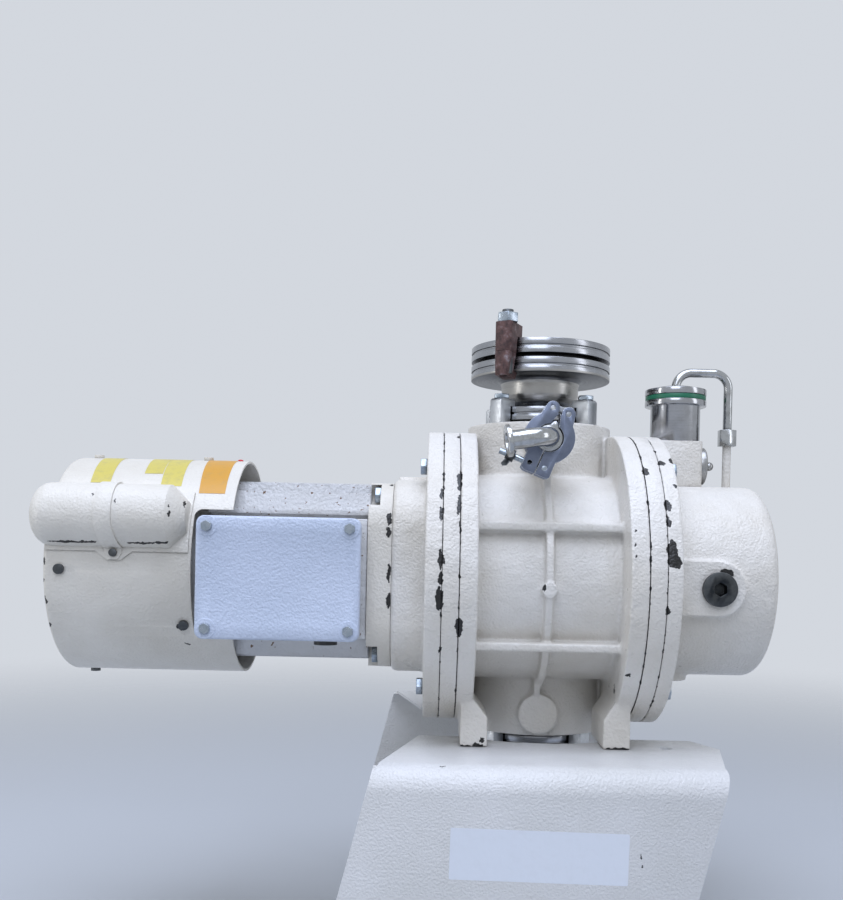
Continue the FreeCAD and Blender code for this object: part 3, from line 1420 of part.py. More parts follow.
def terminal_lid():
    lid = block(lid_left, lid_right, -lid_front, box_front, lid_z - lid_height / 2, lid_z + lid_height / 2)
    upright = [e for e in lid.Edges if e.BoundBox.YLength > 1]
    lid = lid.makeFillet(6.6, upright)
    front = [e for e in lid.Edges if e.BoundBox.YMax < -lid_front + 0.01]
    return lid.makeFillet(2.6, front)


lid_screw_x = 9.0
lid_screw_z = 8.5


def lid_corners():
    points = []
    for x in (lid_left + lid_screw_x, lid_right - lid_screw_x):
        for z in (lid_z - lid_height / 2 + lid_screw_z, lid_z + lid_height / 2 - lid_screw_z):
            points.append((x, z))
    return points


lid = terminal_lid()
terminal_box = block(lid_left + 3, lid_right - 3, box_front, box_back, lid_z - lid_height / 2 + 3, lid_z + lid_height / 2 - 3)
terminal_box = terminal_box.cut(
    block(lid_left + 7, lid_right - 7, box_front - 1, box_back - 4, lid_z - lid_height / 2 + 7, lid_z + lid_height / 2 - 7)
)
for corner_x, corner_z in lid_corners():
    post = rod_y(box_front, box_back, 5.0, corner_x, corner_z)
    terminal_box = terminal_box.fuse(post)
    hole = rod_y(box_front - 10, box_front + 12, 2.3, corner_x, corner_z)
    lid = lid.fuse(rod_y(-lid_front - 0.8, -lid_front + 1, 6.0, corner_x, corner_z)).cut(hole)
    terminal_box = terminal_box.cut(hole)
    screw = hex_bolt(vec(corner_x, -lid_front - 0.8, corner_z), AXIS_Y, 2.2, 8.0, lid_thickness + 9, 2.6)
    motor_screws.append(screw)
save("terminal_box", terminal_box.removeSplitter())
save("terminal_lid", lid)
save("motor_screws", *motor_screws)

plug_x = -183.0
gland_top = lid_z - lid_height / 2 + 3
plug_body = rod_z(gland_top - 7, gland_top, 9.5, plug_x, (box_front + box_back) / 2)
save("gland_plug", plug_body)

terminal_posts = []
for index in range(3):
    terminal_posts.append(rod_y(box_back - 14, box_back - 8, 3.0, -235.0 + 16 * index, lid_z))
board = block(-250, -190, box_back - 8, box_back - 4, lid_z - 18, lid_z + 18)
save("terminal_board", board.fuse(terminal_posts).removeSplitter())

print("floor", floor, "blank top", blank_top, "parts", len(os.listdir("parts")))
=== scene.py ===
import json
import math

import bmesh
import bpy
import numpy as np
from mathutils import Matrix, Vector

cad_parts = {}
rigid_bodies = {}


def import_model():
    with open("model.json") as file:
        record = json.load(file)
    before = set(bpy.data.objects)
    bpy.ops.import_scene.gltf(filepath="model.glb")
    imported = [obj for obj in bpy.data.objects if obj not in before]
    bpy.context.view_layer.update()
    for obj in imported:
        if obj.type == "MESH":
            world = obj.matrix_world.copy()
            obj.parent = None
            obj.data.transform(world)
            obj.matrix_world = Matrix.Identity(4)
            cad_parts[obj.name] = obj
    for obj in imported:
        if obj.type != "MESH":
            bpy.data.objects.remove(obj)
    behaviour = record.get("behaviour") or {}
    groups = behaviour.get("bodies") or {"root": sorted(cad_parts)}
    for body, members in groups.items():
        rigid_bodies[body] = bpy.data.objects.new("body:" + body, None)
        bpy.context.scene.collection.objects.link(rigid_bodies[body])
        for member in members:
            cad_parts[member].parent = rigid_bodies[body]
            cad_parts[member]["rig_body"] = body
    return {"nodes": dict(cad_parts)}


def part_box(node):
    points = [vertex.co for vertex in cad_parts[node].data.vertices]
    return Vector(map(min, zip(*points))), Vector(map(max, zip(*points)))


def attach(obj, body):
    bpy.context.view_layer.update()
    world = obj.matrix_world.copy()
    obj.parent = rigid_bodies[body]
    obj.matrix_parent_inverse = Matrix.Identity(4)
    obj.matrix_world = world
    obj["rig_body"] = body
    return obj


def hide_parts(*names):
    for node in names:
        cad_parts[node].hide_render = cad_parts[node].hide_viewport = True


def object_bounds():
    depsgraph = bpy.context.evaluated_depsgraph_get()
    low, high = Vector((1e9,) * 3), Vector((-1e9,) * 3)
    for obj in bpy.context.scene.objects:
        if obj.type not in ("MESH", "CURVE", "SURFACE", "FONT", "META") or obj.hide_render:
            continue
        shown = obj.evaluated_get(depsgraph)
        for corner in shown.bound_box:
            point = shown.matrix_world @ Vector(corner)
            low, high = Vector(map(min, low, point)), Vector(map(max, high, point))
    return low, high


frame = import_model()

cad_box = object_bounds()


# Stand panels: two 3 mm steel sheets, bent over at the top and the foot and cut with
# slanting sides. They are powder coated, which leaves a coarse, even orange peel.
# The pump's feet are bolted down on their top flanges.
# Lengths are given in mm and turned into metres with MM. Corners closer than WELD are one.
MM = 0.001
WELD = 0.004 * MM


def linear(colour):
    """An sRGB hex colour as the linear colour that a shader takes."""
    shares = [int(colour[i:i + 2], 16) / 255 for i in (1, 3, 5)]
    shares = [c / 12.92 if c <= 0.04045 else ((c + 0.055) / 1.055) ** 2.4 for c in shares]
    return (*shares, 1.0)


def add(tree, kind, inputs=None, **settings):
    """One shader node with its settings, and its inputs as values or as other nodes' outputs."""
    made = tree.nodes.new("ShaderNode" + kind)
    for name, value in settings.items():
        setattr(made, name, value)
    for name, value in (inputs or {}).items():
        if isinstance(value, bpy.types.NodeSocket):
            tree.links.new(value, made.inputs[name])
        else:
            made.inputs[name].default_value = value
    return made


def new_finish(name):
    """An empty finish: its material, node tree, shader and the point on the piece, in metres."""
    material = bpy.data.materials.new(name)
    material.use_nodes = True
    tree = material.node_tree
    shader = tree.nodes["Principled BSDF"]
    point = add(tree, "TexCoord").outputs["Object"]
    return material, tree, shader, point


def smaller(tree, values):
    """The smallest of several node outputs."""
    least = values[0]
    for value in values[1:]:
        least = add(tree, "Math", {0: least, 1: value}, operation="MINIMUM").outputs[0]
    return least


def sprayed_paint(name, colour, shade, grain, height, roughness, joints=(), wear=0.0, chips=(),
                  lumps=0.0, rust_above=None):
    """Paint over metal. grain and height are those of its orange peel, and lumps is the height
    of the cast skin under it. joints are places along X where the coat is worn, up to wear wide.
    Each chip is its place, half its width and half its height. All are in mm. Rust flecks show
    where a noise is above rust_above."""
    material, tree, shader, point = new_finish(name)
    drift = add(tree, "TexNoise", {"Vector": point, "Scale": 1 / (70 * MM), "Detail": 4.0})
    spread = add(tree, "MapRange", {0: drift.outputs[0], 1: 0.35, 2: 0.7})
    tone = add(tree, "Mix", {0: spread.outputs[0], 6: linear(colour), 7: linear(shade)},
               data_type="RGBA")
    # Recesses and inner corners get a painted shade, broken into patches, that also stands for
    # grime where a cloth doesn't reach.
    shade_occlusion = add(tree, "AmbientOcclusion", {"Distance": 10 * MM}, samples=6, only_local=False)
    depth = add(tree, "MapRange", {0: shade_occlusion.outputs["AO"], 1: 0.72, 2: 0.2, 3: 0.0, 4: 0.6})
    smear = add(tree, "TexNoise", {"Vector": point, "Scale": 1 / (14 * MM), "Detail": 5.0})
    shade_and_grime = add(tree, "Math", {0: depth.outputs[0], 1: smear.outputs[0]}, operation="MULTIPLY")
    tone = add(tree, "Mix", {0: shade_and_grime.outputs[0], 6: tone.outputs[2], 7: linear("#5f564a")},
               data_type="RGBA")
    peel = add(tree, "TexNoise", {"Vector": point, "Scale": 1 / (grain * MM), "Detail": 1.2,
                                  "Roughness": 0.45})
    relief = add(tree, "Bump", {"Height": peel.outputs[0], "Distance": height * MM,
                                "Strength": 1.0})
    if lumps:
        skin = add(tree, "TexNoise", {"Vector": point, "Scale": 1 / (15 * MM), "Detail": 3.0})
        relief = add(tree, "Bump", {"Height": skin.outputs[0], "Distance": lumps * MM,
                                    "Strength": 1.0, "Normal": relief.outputs[0]})
    if rust_above is not None:
        fleck = add(tree, "TexNoise", {"Vector": point, "Scale": 1 / (4.5 * MM), "Detail": 3.0,
                                       "Roughness": 0.6})
        rusty = add(tree, "MapRange", {0: fleck.outputs[0], 1: rust_above, 2: rust_above + 0.02})
        tone = add(tree, "Mix", {0: rusty.outputs[0], 6: tone.outputs[2], 7: linear("#6a4d33")},
                   data_type="RGBA")
    bare = []
    if joints:
        # The coat is worn to the dark primer along the joints between the castings, by a
        # hairline everywhere and in patches up to the full width.
        across = add(tree, "SeparateXYZ", {0: point}).outputs[0]
        away = []
        for joint in joints:
            offset = add(tree, "Math", {0: across, 1: joint * MM}, operation="SUBTRACT")
            away.append(add(tree, "Math", {0: offset.outputs[0]}, operation="ABSOLUTE").outputs[0])
        patch = add(tree, "TexNoise", {"Vector": point, "Scale": 1 / (9 * MM), "Detail": 5.0,
                                       "Roughness": 0.6})
        reach = add(tree, "MapRange", {0: patch.outputs[0], 1: 0.53, 2: 0.78, 3: 0.3 * MM,
                                       4: wear * MM})
        gap = add(tree, "Math", {0: smaller(tree, away), 1: reach.outputs[0]},
                  operation="SUBTRACT")
        bare.append(gap.outputs[0])
    if chips:
        # Larger chips. Their edges are torn, by half of this either way.
        tearing = 7 * MM
        tear = add(tree, "TexNoise", {"Vector": point, "Scale": 1 / (5 * MM), "Detail": 4.0,
                                      "Roughness": 0.65})
        torn = add(tree, "VectorMath", {0: tear.outputs[1], 1: (tearing,) * 3,
                                        2: (-tearing / 2,) * 3}, operation="MULTIPLY_ADD")
        frayed = add(tree, "VectorMath", {0: point, 1: torn.outputs[0]}, operation="ADD")
        reaches = []
        for x, y, z, wide, tall in chips:
            size = Vector((1 / wide, 1 / tall, 1 / tall)) / MM
            middle = Vector((-x / wide, -y / tall, -z / tall))
            local = add(tree, "VectorMath", {0: frayed.outputs[0], 1: size, 2: middle},
                        operation="MULTIPLY_ADD")
            reach = add(tree, "VectorMath", {0: local.outputs[0]}, operation="LENGTH")
            reaches.append(reach.outputs["Value"])
        gap = add(tree, "Math", {0: smaller(tree, reaches), 1: 0.75}, operation="SUBTRACT")
        bare.append(gap.outputs[0])
    if bare:
        chipped = add(tree, "Math", {0: smaller(tree, bare), 1: 0.0}, operation="LESS_THAN")
        tone = add(tree, "Mix", {0: chipped.outputs[0], 6: tone.outputs[2], 7: linear("#100f0f")},
                   data_type="RGBA")
        sunk = add(tree, "Math", {0: 1.0, 1: chipped.outputs[0]}, operation="SUBTRACT")
        relief = add(tree, "Bump", {"Height": sunk.outputs[0], "Distance": 0.25 * MM,
                                    "Strength": 0.7, "Normal": relief.outputs[0]})
    gloss = add(tree, "MapRange", {0: smear.outputs[0], 1: 0.3, 2: 0.7, 3: roughness - 0.05,
                                   4: roughness + 0.08})
    tree.links.new(tone.outputs[2], shader.inputs["Base Color"])
    tree.links.new(relief.outputs[0], shader.inputs["Normal"])
    tree.links.new(gloss.outputs[0], shader.inputs["Roughness"])
    return material


def meshed(name, shape):
    """The bmesh as a mesh of its own."""
    mesh = bpy.data.meshes.new(name)
    shape.to_mesh(mesh)
    shape.free()
    return mesh


def placed(mesh, *nodes, body=None, sharp=30):
    """The mesh as a smooth piece that stands for CAD nodes and rides with them."""
    piece = bpy.data.objects.new(mesh.name, mesh)
    bpy.context.collection.objects.link(piece)
    mesh.shade_smooth()
    mesh.set_sharp_from_angle(angle=math.radians(sharp))
    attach(piece, body or frame["nodes"][nodes[0]]["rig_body"])
    if nodes:
        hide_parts(*nodes)
    return piece


def rounded(node, width, flat=0.5):
    """A copy of a CAD node with its sharp edges rounded by width, in mm. Faces that lie closer
    than flat, in degrees, are joined."""
    sharp = math.radians(32)
    shape = bmesh.new()
    shape.from_mesh(frame["nodes"][node].data)
    bmesh.ops.remove_doubles(shape, verts=shape.verts, dist=WELD)
    bmesh.ops.dissolve_limit(shape, angle_limit=math.radians(flat), verts=shape.verts,
                             edges=shape.edges)
    if width:
        edges = [edge for edge in shape.edges
                 if len(edge.link_faces) == 2 and edge.calc_face_angle(0) > sharp]
        bmesh.ops.bevel(shape, geom=edges, offset=width * MM, offset_type="OFFSET", segments=2,
                        profile=0.5, affect="EDGES", clamp_overlap=True, material=-1)
    return placed(meshed(node + "_piece", shape), node)


def dress(piece, *materials):
    """The piece in these materials, the first of them all over."""
    piece.data.materials.clear()
    for material in materials:
        piece.data.materials.append(material)
    return piece


stand_chips = ((63, -209, -22, 0.7, 3.2), (64, -209, -29, 0.6, 1.6), (-86, -197, 40, 3.2, 0.8))
stand_coat = sprayed_paint("powder_coat", "#d9d9d9", "#cfcfcd", 1.9, 0.8, 0.34, chips=stand_chips)
for panel in ("stand_front_panel", "stand_rear_panel"):
    dress(rounded(panel, 0.6), stand_coat)


# Stand bolts: four M10 hexagon bolts, zinc plated, screwed up through the panels into the feet.
# Zinc looks pale grey with a faint blue, and has duller patches where it was handled.
def metal(name, colour, roughness, grain_mm, depth_mm, patch, patch_share, worn_edge=None):
    """Bare or plated metal with a fine grain, a patchy film and, if asked for, brighter edges.
    grain_mm is the grain's width, depth_mm its depth, patch the film's colour and patch_share
    how much of it shows. The real grain is finer, and is drawn this coarse so that it shows."""
    material, tree, shader, point = new_finish(name)
    film = add(tree, "TexNoise", {"Vector": point, "Scale": 1 / (6 * MM), "Detail": 5.0,
                                  "Roughness": 0.6})
    share = add(tree, "MapRange", {0: film.outputs[0], 1: 0.4, 2: 0.72, 3: 0.0, 4: patch_share})
    tone = add(tree, "Mix", {0: share.outputs[0], 6: linear(colour), 7: linear(patch)},
               data_type="RGBA")
    # Recesses and inner corners are darkened with a painted shade.
    shade_occlusion = add(tree, "AmbientOcclusion", {"Distance": 5 * MM}, samples=6, only_local=False)
    depth = add(tree, "MapRange", {0: shade_occlusion.outputs["AO"], 1: 0.7, 2: 0.2, 3: 0.0, 4: 0.75})
    tone = add(tree, "Mix", {0: depth.outputs[0], 6: tone.outputs[2], 7: linear("#26241f")},
               data_type="RGBA")
    if worn_edge:
        ridge = add(tree, "NewGeometry").outputs["Pointiness"]
        worn = add(tree, "MapRange", {0: ridge, 1: 0.52, 2: 0.60, 3: 0.0, 4: 0.9})
        tone = add(tree, "Mix", {0: worn.outputs[0], 6: tone.outputs[2], 7: linear(worn_edge)},
                   data_type="RGBA")
    grain = add(tree, "TexNoise", {"Vector": point, "Scale": 1 / (grain_mm * MM), "Detail": 3.0})
    relief = add(tree, "Bump", {"Height": grain.outputs[0], "Distance": depth_mm * MM,
                                "Strength": 0.8})
    dull = add(tree, "MapRange", {0: film.outputs[0], 1: 0.3, 2: 0.8, 3: roughness - 0.06,
                                  4: roughness + 0.14})
    tree.links.new(tone.outputs[2], shader.inputs["Base Color"])
    tree.links.new(relief.outputs[0], shader.inputs["Normal"])
    tree.links.new(dull.outputs[0], shader.inputs["Roughness"])
    shader.inputs["Metallic"].default_value = 1.0
    return material


zinc_plate = metal("zinc_plate", "#a6afb8", 0.27, 0.5, 0.03, "#6f7c88", 0.8)
dress(rounded("stand_bolts", 0.5), zinc_plate)


# Rotor casing: one iron casting with the oval chamber, its two wide flanges, ribs and feet.
# Sand casting leaves filled inner corners, a lumpy skin and eased edges under the cream paint.
# The coat is chipped along the joints, at the feet and on the knob of the front gallery.
casing_chips = (
    (-91, -157.7, 247.9, 2.3, 7), (-91, -166, 231.8, 2.4, 8), (-91, -175.8, 196.7, 3.0, 11),
    (-91, -176.8, 182, 2.8, 7), (-91.5, -175.7, 166, 3.9, 13), (-90, -163.7, 124.9, 1.9, 4),
    (-77.5, -92.7, 300.4, 1.9, 6), (-77.6, -150, 258, 2.2, 12), (-77.5, -162.6, 239.3, 2.2, 12),
    (-75.6, -171, 143.1, 3.8, 11), (73.2, -140, 270.3, 3.6, 6), (88, -131, 279, 3.2, 5),
    (87.4, -161, 242.3, 3.9, 8), (87, -167, 229, 2.8, 6), (88.6, -174, 205, 5.4, 15),
    (91.5, -176, 198, 6.5, 7), (86.2, -175.1, 160.2, 2.7, 4), (96.4, -128.3, 280.7, 2.6, 5),
    (95, -150, 259, 2.2, 3), (141.5, -140, 189.5, 7.5, 5.5), (-7.6, -149, 175.5, 1.9, 5),
    (-68, -125, 41.5, 8, 2.6), (-57, -125.2, 42, 6, 4.2), (-53, -125, 47, 2.6, 3),
    (55, -125, 41.5, 8, 2.4), (64, -125, 41.5, 8, 2.6), (60.6, -153, 107.1, 2.2, 3),
    (57.3, -112, 90, 1.2, 6), (60.9, -170, 221.8, 1.0, 2.4), (60.5, -173, 211, 1.0, 2.4),
    (60.4, -175, 202, 1.0, 2.0))
casting_joints = (-89.7, -76.2, 72.0, 85.5)
casing_paint = sprayed_paint("casting_paint", "#e0ddd7", "#d5d0c6", 2.0, 0.75, 0.32, lumps=1.8,
                             wear=2.2, joints=casting_joints, chips=casing_chips)


def cast(node, voxel, fill_passes, ease_passes, most_faces, webs=()):
    """A CAD node as a casting: its outer corners eased a little and its inner corners filled.
    voxel is the grid that it is drawn on. Each web is a block fused in: its middle, its size,
    and how far its upper half leans forward. All are in mm."""
    mesh = frame["nodes"][node].data.copy()
    shape = bmesh.new()
    shape.from_mesh(mesh)
    bmesh.ops.remove_doubles(shape, verts=shape.verts, dist=WELD)
    for middle, size, lean in webs:
        block = bmesh.ops.create_cube(shape, size=1)["verts"]
        bmesh.ops.scale(shape, vec=Vector(size) * MM, verts=block)
        upper = [vert for vert in block if vert.co.z > 0]
        bmesh.ops.translate(shape, vec=Vector((0, -lean * MM, 0)), verts=upper)
        bmesh.ops.translate(shape, vec=Vector(middle) * MM, verts=block)
    shape.to_mesh(mesh)
    shape.free()
    blank = bpy.data.objects.new(node + "_blank", mesh)
    bpy.context.collection.objects.link(blank)
    remesh = blank.modifiers.new("grid", "REMESH")
    remesh.mode = "VOXEL"
    remesh.voxel_size = voxel * MM
    remesh.adaptivity = 0.0
    graph = bpy.context.evaluated_depsgraph_get()
    grid = bpy.data.meshes.new_from_object(blank.evaluated_get(graph))
    blank.modifiers.clear()
    count = len(grid.vertices)
    points = np.empty(count * 3)
    grid.vertices.foreach_get("co", points)
    points = points.reshape(-1, 3)
    ends = np.empty(len(grid.edges) * 2, int)
    grid.edges.foreach_get("vertices", ends)
    ends = ends.reshape(-1, 2)
    near, far = np.concatenate([ends, ends[:, ::-1]]).T
    degree = np.bincount(near, minlength=count)[:, None]
    low, high = points.min(0), points.max(0)
    # The first passes smooth every corner, the others only draw inner corners outwards.
    for step in range(ease_passes + fill_passes):
        total = np.stack([np.bincount(near, points[far, axis], count) for axis in range(3)], 1)
        pull = total / degree - points
        if step >= ease_passes:
            grid.vertices.foreach_set("co", points.ravel())
            grid.update()
            normals = np.empty(count * 3, np.float32)
            grid.vertex_normals.foreach_get("vector", normals)
            outward = (pull * normals.reshape(-1, 3)).sum(1)
            pull[outward < 0] = 0
        points = np.clip(points + 0.5 * pull, low, high)
    grid.vertices.foreach_set("co", points.ravel())
    blank.data = grid
    thin = blank.modifiers.new("thin", "DECIMATE")
    thin.ratio = min(1.0, most_faces / (2 * len(grid.polygons)))
    graph = bpy.context.evaluated_depsgraph_get()
    eased = bpy.data.meshes.new_from_object(blank.evaluated_get(graph))
    bpy.data.objects.remove(blank)
    eased.name = node + "_casting"
    return placed(eased, node, sharp=60)


# The grid of the castings, in mm.
finest = 1.25
# The web joins the front gallery to the round boss under it.
gallery_web = ((-4.4, -69, 88), (6, 20, 20), 13)
casing = cast("rotor_casing", finest, fill_passes=9, ease_passes=1, most_faces=190000,
              webs=[gallery_web])
dress(casing, casing_paint)


# End plates: flat iron plates between the casing and the covers, with oval seal rings in the
# joints. Only their painted rims show, crisp from machining.
for plate in ("drive_end_plate", "gear_end_plate"):
    dress(rounded(plate, 0.7), casing_paint)


# Seals and drive spider: oval rings in the joints, seals on the shafts and at the ports, and the
# coupling's star, all moulded from black rubber. It is dull, with a faint pale bloom.
def rubber(name, colour, roughness, bloom="#4b4c4a"):
    """Moulded rubber or plastic: dull, softly uneven, and paler in patches."""
    material, tree, shader, point = new_finish(name)
    cloud = add(tree, "TexNoise", {"Vector": point, "Scale": 1 / (4 * MM), "Detail": 4.0})
    share = add(tree, "MapRange", {0: cloud.outputs[0], 1: 0.4, 2: 0.8, 3: 0.0, 4: 0.45})
    tone = add(tree, "Mix", {0: share.outputs[0], 6: linear(colour), 7: linear(bloom)},
               data_type="RGBA")
    relief = add(tree, "Bump", {"Height": cloud.outputs[0], "Distance": 0.08 * MM,
                                "Strength": 0.5})
    tree.links.new(tone.outputs[2], shader.inputs["Base Color"])
    tree.links.new(relief.outputs[0], shader.inputs["Normal"])
    shader.inputs["Roughness"].default_value = roughness
    return material


black_rubber = rubber("black_rubber", "#141517", 0.55)
for part_name in ("plate_seals", "shaft_seals", "coupling_spider"):
    dress(rounded(part_name, 0), black_rubber)
dress(rounded("centring_rings", 0.3), black_rubber)


# Rotors, gears, bearings, coupling and the motor's cores: the working inside, on the pump's two
# shafts and the motor's. Rotors, hubs and cores are machined iron, a dull brownish grey. Gears
# and bearings are ground steel, smoother and paler under a film of oil.
iron = metal("machined_iron", "#7b7a78", 0.45, 0.8, 0.05, "#55504b", 0.5)
ground_steel = metal("ground_steel", "#b2b3b5", 0.28, 0.4, 0.02, "#8a8b8c", 0.4)
for part_name in ("drive_rotor", "idle_rotor", "motor_coupling_hub", "pump_coupling_hub",
                  "stator", "motor_rotor"):
    dress(rounded(part_name, 0), iron)
for part_name in ("drive_gear", "idle_gear", "rotor_bearings", "oil_slinger", "motor_bearings"):
    dress(rounded(part_name, 0), ground_steel)


# Drive cover and gear cover: iron castings over the two end plates, one with the squarish
# housing that encloses the coupling, one the drum over the timing gears with the plug's boss.
# Hexagon screws hold them through both plates.
for cover in ("drive_cover", "gear_cover"):
    casting = cast(cover, finest, fill_passes=6, ease_passes=1, most_faces=120000)
    dress(casting, casing_paint)
dress(rounded("cover_screws", 0.5), zinc_plate)


# Oil plug: phosphated steel, screwed into the gear cover's boss by its hexagon socket.
# The coat looks nearly black, and keys have rubbed the rim brighter.
black_oxide = metal("phosphated_steel", "#2d3033", 0.42, 0.5, 0.04, "#5b5c5a", 0.6,
                    worn_edge="#8d9092")
dress(rounded("oil_plug", 0.6), black_oxide)


# Inlet stack and outlet stub: stainless flanges with grooved rims, turned from the solid and
# clamped onto the casing's ports. The steel is bright and shows the lathe's rings as bands.
def turned_steel(name, colour, roughness, centre=(0, 0), along="Z", dull_band=None):
    """Metal with a lathe's rings round its axis. dull_band is a stretch of the axis, in mm, that
    is duller. The real rings are finer, and are drawn this coarse so that they show."""
    material, tree, shader, point = new_finish(name)
    parts = add(tree, "SeparateXYZ", {0: point})
    *across, axis = {"X": (1, 2, 0), "Z": (0, 1, 2)}[along]
    height = parts.outputs[axis]
    squares = []
    for side, middle in zip(across, centre):
        off = add(tree, "Math", {0: parts.outputs[side], 1: middle * MM}, operation="SUBTRACT")
        square = add(tree, "Math", {0: off.outputs[0], 1: 2.0}, operation="POWER")
        squares.append(square.outputs[0])
    summed = add(tree, "Math", {0: squares[0], 1: squares[1]}, operation="ADD")
    radius = add(tree, "Math", {0: summed.outputs[0]}, operation="SQRT")
    cut = add(tree, "CombineXYZ", {0: radius.outputs[0], 1: height})
    rings = add(tree, "TexNoise", {"Vector": cut.outputs[0], "Scale": 1 / (0.6 * MM),
                                   "Detail": 4.0})
    film = add(tree, "TexNoise", {"Vector": point, "Scale": 1 / (11 * MM), "Detail": 6.0,
                                  "Roughness": 0.6})
    share = add(tree, "MapRange", {0: film.outputs[0], 1: 0.45, 2: 0.75, 3: 0.0, 4: 0.35})
    tone = add(tree, "Mix", {0: share.outputs[0], 6: linear(colour), 7: linear("#7b7976")},
               data_type="RGBA")
    # Recesses and inner corners are darkened with a painted shade.
    shade_occlusion = add(tree, "AmbientOcclusion", {"Distance": 6 * MM}, samples=6, only_local=False)
    depth = add(tree, "MapRange", {0: shade_occlusion.outputs["AO"], 1: 0.6, 2: 0.15, 3: 0.0, 4: 0.8})
    tone = add(tree, "Mix", {0: depth.outputs[0], 6: tone.outputs[2], 7: linear("#1c1c1d")},
               data_type="RGBA")
    dull = add(tree, "MapRange", {0: rings.outputs[0], 1: 0.3, 2: 0.7, 3: roughness - 0.08,
                                  4: roughness + 0.1})
    if dull_band:
        low, high = dull_band
        rising = add(tree, "MapRange", {0: height, 1: low * MM, 2: (low + 1) * MM})
        falling = add(tree, "MapRange", {0: height, 1: (high + 1) * MM, 2: high * MM})
        within = add(tree, "Math", {0: rising.outputs[0], 1: falling.outputs[0]},
                     operation="MULTIPLY")
        tone = add(tree, "Mix", {0: within.outputs[0], 6: tone.outputs[2], 7: linear("#a5a39f")},
                   data_type="RGBA")
        dull = add(tree, "Math", {0: within.outputs[0], 1: 0.1, 2: dull.outputs[0]},
                   operation="MULTIPLY_ADD")
    relief = add(tree, "Bump", {"Height": rings.outputs[0], "Distance": 0.02 * MM,
                                "Strength": 0.5})
    tree.links.new(tone.outputs[2], shader.inputs["Base Color"])
    tree.links.new(dull.outputs[0], shader.inputs["Roughness"])
    tree.links.new(relief.outputs[0], shader.inputs["Normal"])
    shader.inputs["Metallic"].default_value = 1.0
    return material


# The neck between the flanges is duller. The large flanges get a painted shade underneath, a
# darker copy of the steel: every face above this height that looks clearly down.
NECK = (341, 365)
SHADED_ABOVE = 350
DOWNWARD = -0.5
port_steel = turned_steel("turned_stainless", "#a3a5a9", 0.22, dull_band=NECK)
shaded_underside_steel = turned_steel("shaded_stainless", "#66676a", 0.34)
for part_name in ("inlet_adapter", "blank_flange", "outlet_flange"):
    flange = dress(rounded(part_name, 0.5), port_steel, shaded_underside_steel)
    # Faces that look down get the darker copy, a painted shade.
    for face in flange.data.polygons:
        if face.normal.z < DOWNWARD and face.center.z > SHADED_ABOVE * MM:
            face.material_index = 1


# Claws: eight cast steel claws with screws hold the small flanges, and one rusty double claw on
# a stud still holds the large ones. The cast steel is blasted, a grainy grey with brighter
# edges. The stud is dark, and its nut is new and bright.
STUD_AXIS = (-36.1, -68)
STUD_RADIUS = 5.1
claw_steel = metal("blasted_steel", "#9a9ea3", 0.34, 0.9, 0.12, "#55565a", 0.9,
                   worn_edge="#d5d8db")
dress(rounded("single_claws", 0.9), claw_steel)
dress(rounded("claw_bolts", 0.5), zinc_plate)
stud = dress(rounded("claw_stud", 0.4), zinc_plate, black_oxide)
for face in stud.data.polygons:
    off_axis = (face.center.x - STUD_AXIS[0] * MM, face.center.y - STUD_AXIS[1] * MM)
    if math.hypot(*off_axis) < STUD_RADIUS * MM:
        face.material_index = 1


def rust(name):
    """Old rust over worn plating: brown and violet-brown patches, pitted, a little shiny."""
    material, tree, shader, point = new_finish(name)
    patch = add(tree, "TexNoise", {"Vector": point, "Scale": 1 / (8 * MM), "Detail": 8.0,
                                   "Roughness": 0.7})
    ramp = add(tree, "ValToRGB", {0: patch.outputs[0]})
    stops = ramp.color_ramp.elements
    stops[0].position, stops[0].color = 0.30, linear("#261e1f")
    stops[1].position, stops[1].color = 0.70, linear("#857c80")
    for position, colour in ((0.44, "#473332"), (0.56, "#614744")):
        middle = stops.new(position)
        middle.color = linear(colour)
    pits = add(tree, "TexNoise", {"Vector": point, "Scale": 1 / (1.3 * MM), "Detail": 4.0})
    relief = add(tree, "Bump", {"Height": pits.outputs[0], "Distance": 0.4 * MM,
                                "Strength": 0.9})
    tree.links.new(ramp.outputs[0], shader.inputs["Base Color"])
    tree.links.new(relief.outputs[0], shader.inputs["Normal"])
    shader.inputs["Roughness"].default_value = 0.55
    shader.inputs["Metallic"].default_value = 0.35
    return material


# The jaws narrow towards the foot, on the side away from the motor. These are the shares of
# their width that they keep at either end.
FOOT_SHARE = 0.72
HEAD_SHARE = 0.86
jaws = dress(rounded("double_claw", 2.2), rust("rusted_iron"))
(left, _, foot), (_, _, head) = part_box("double_claw")
for vert in jaws.data.vertices:
    share = FOOT_SHARE + (HEAD_SHARE - FOOT_SHARE) * (vert.co.z - foot) / (head - foot)
    vert.co.x = left + (vert.co.x - left) * share


# Purge port and elbow: drawn stainless tube with welded end rings. The port is screwed into the
# casing and the elbow clamped to it. The tube is polished, with a few duller smears.
tube_steel = metal("polished_stainless", "#b2b4b5", 0.15, 0.9, 0.015, "#7d7c78", 0.6)
dress(rounded("purge_port", 0.3), tube_steel)
dress(rounded("purge_elbow", 0.4), tube_steel)


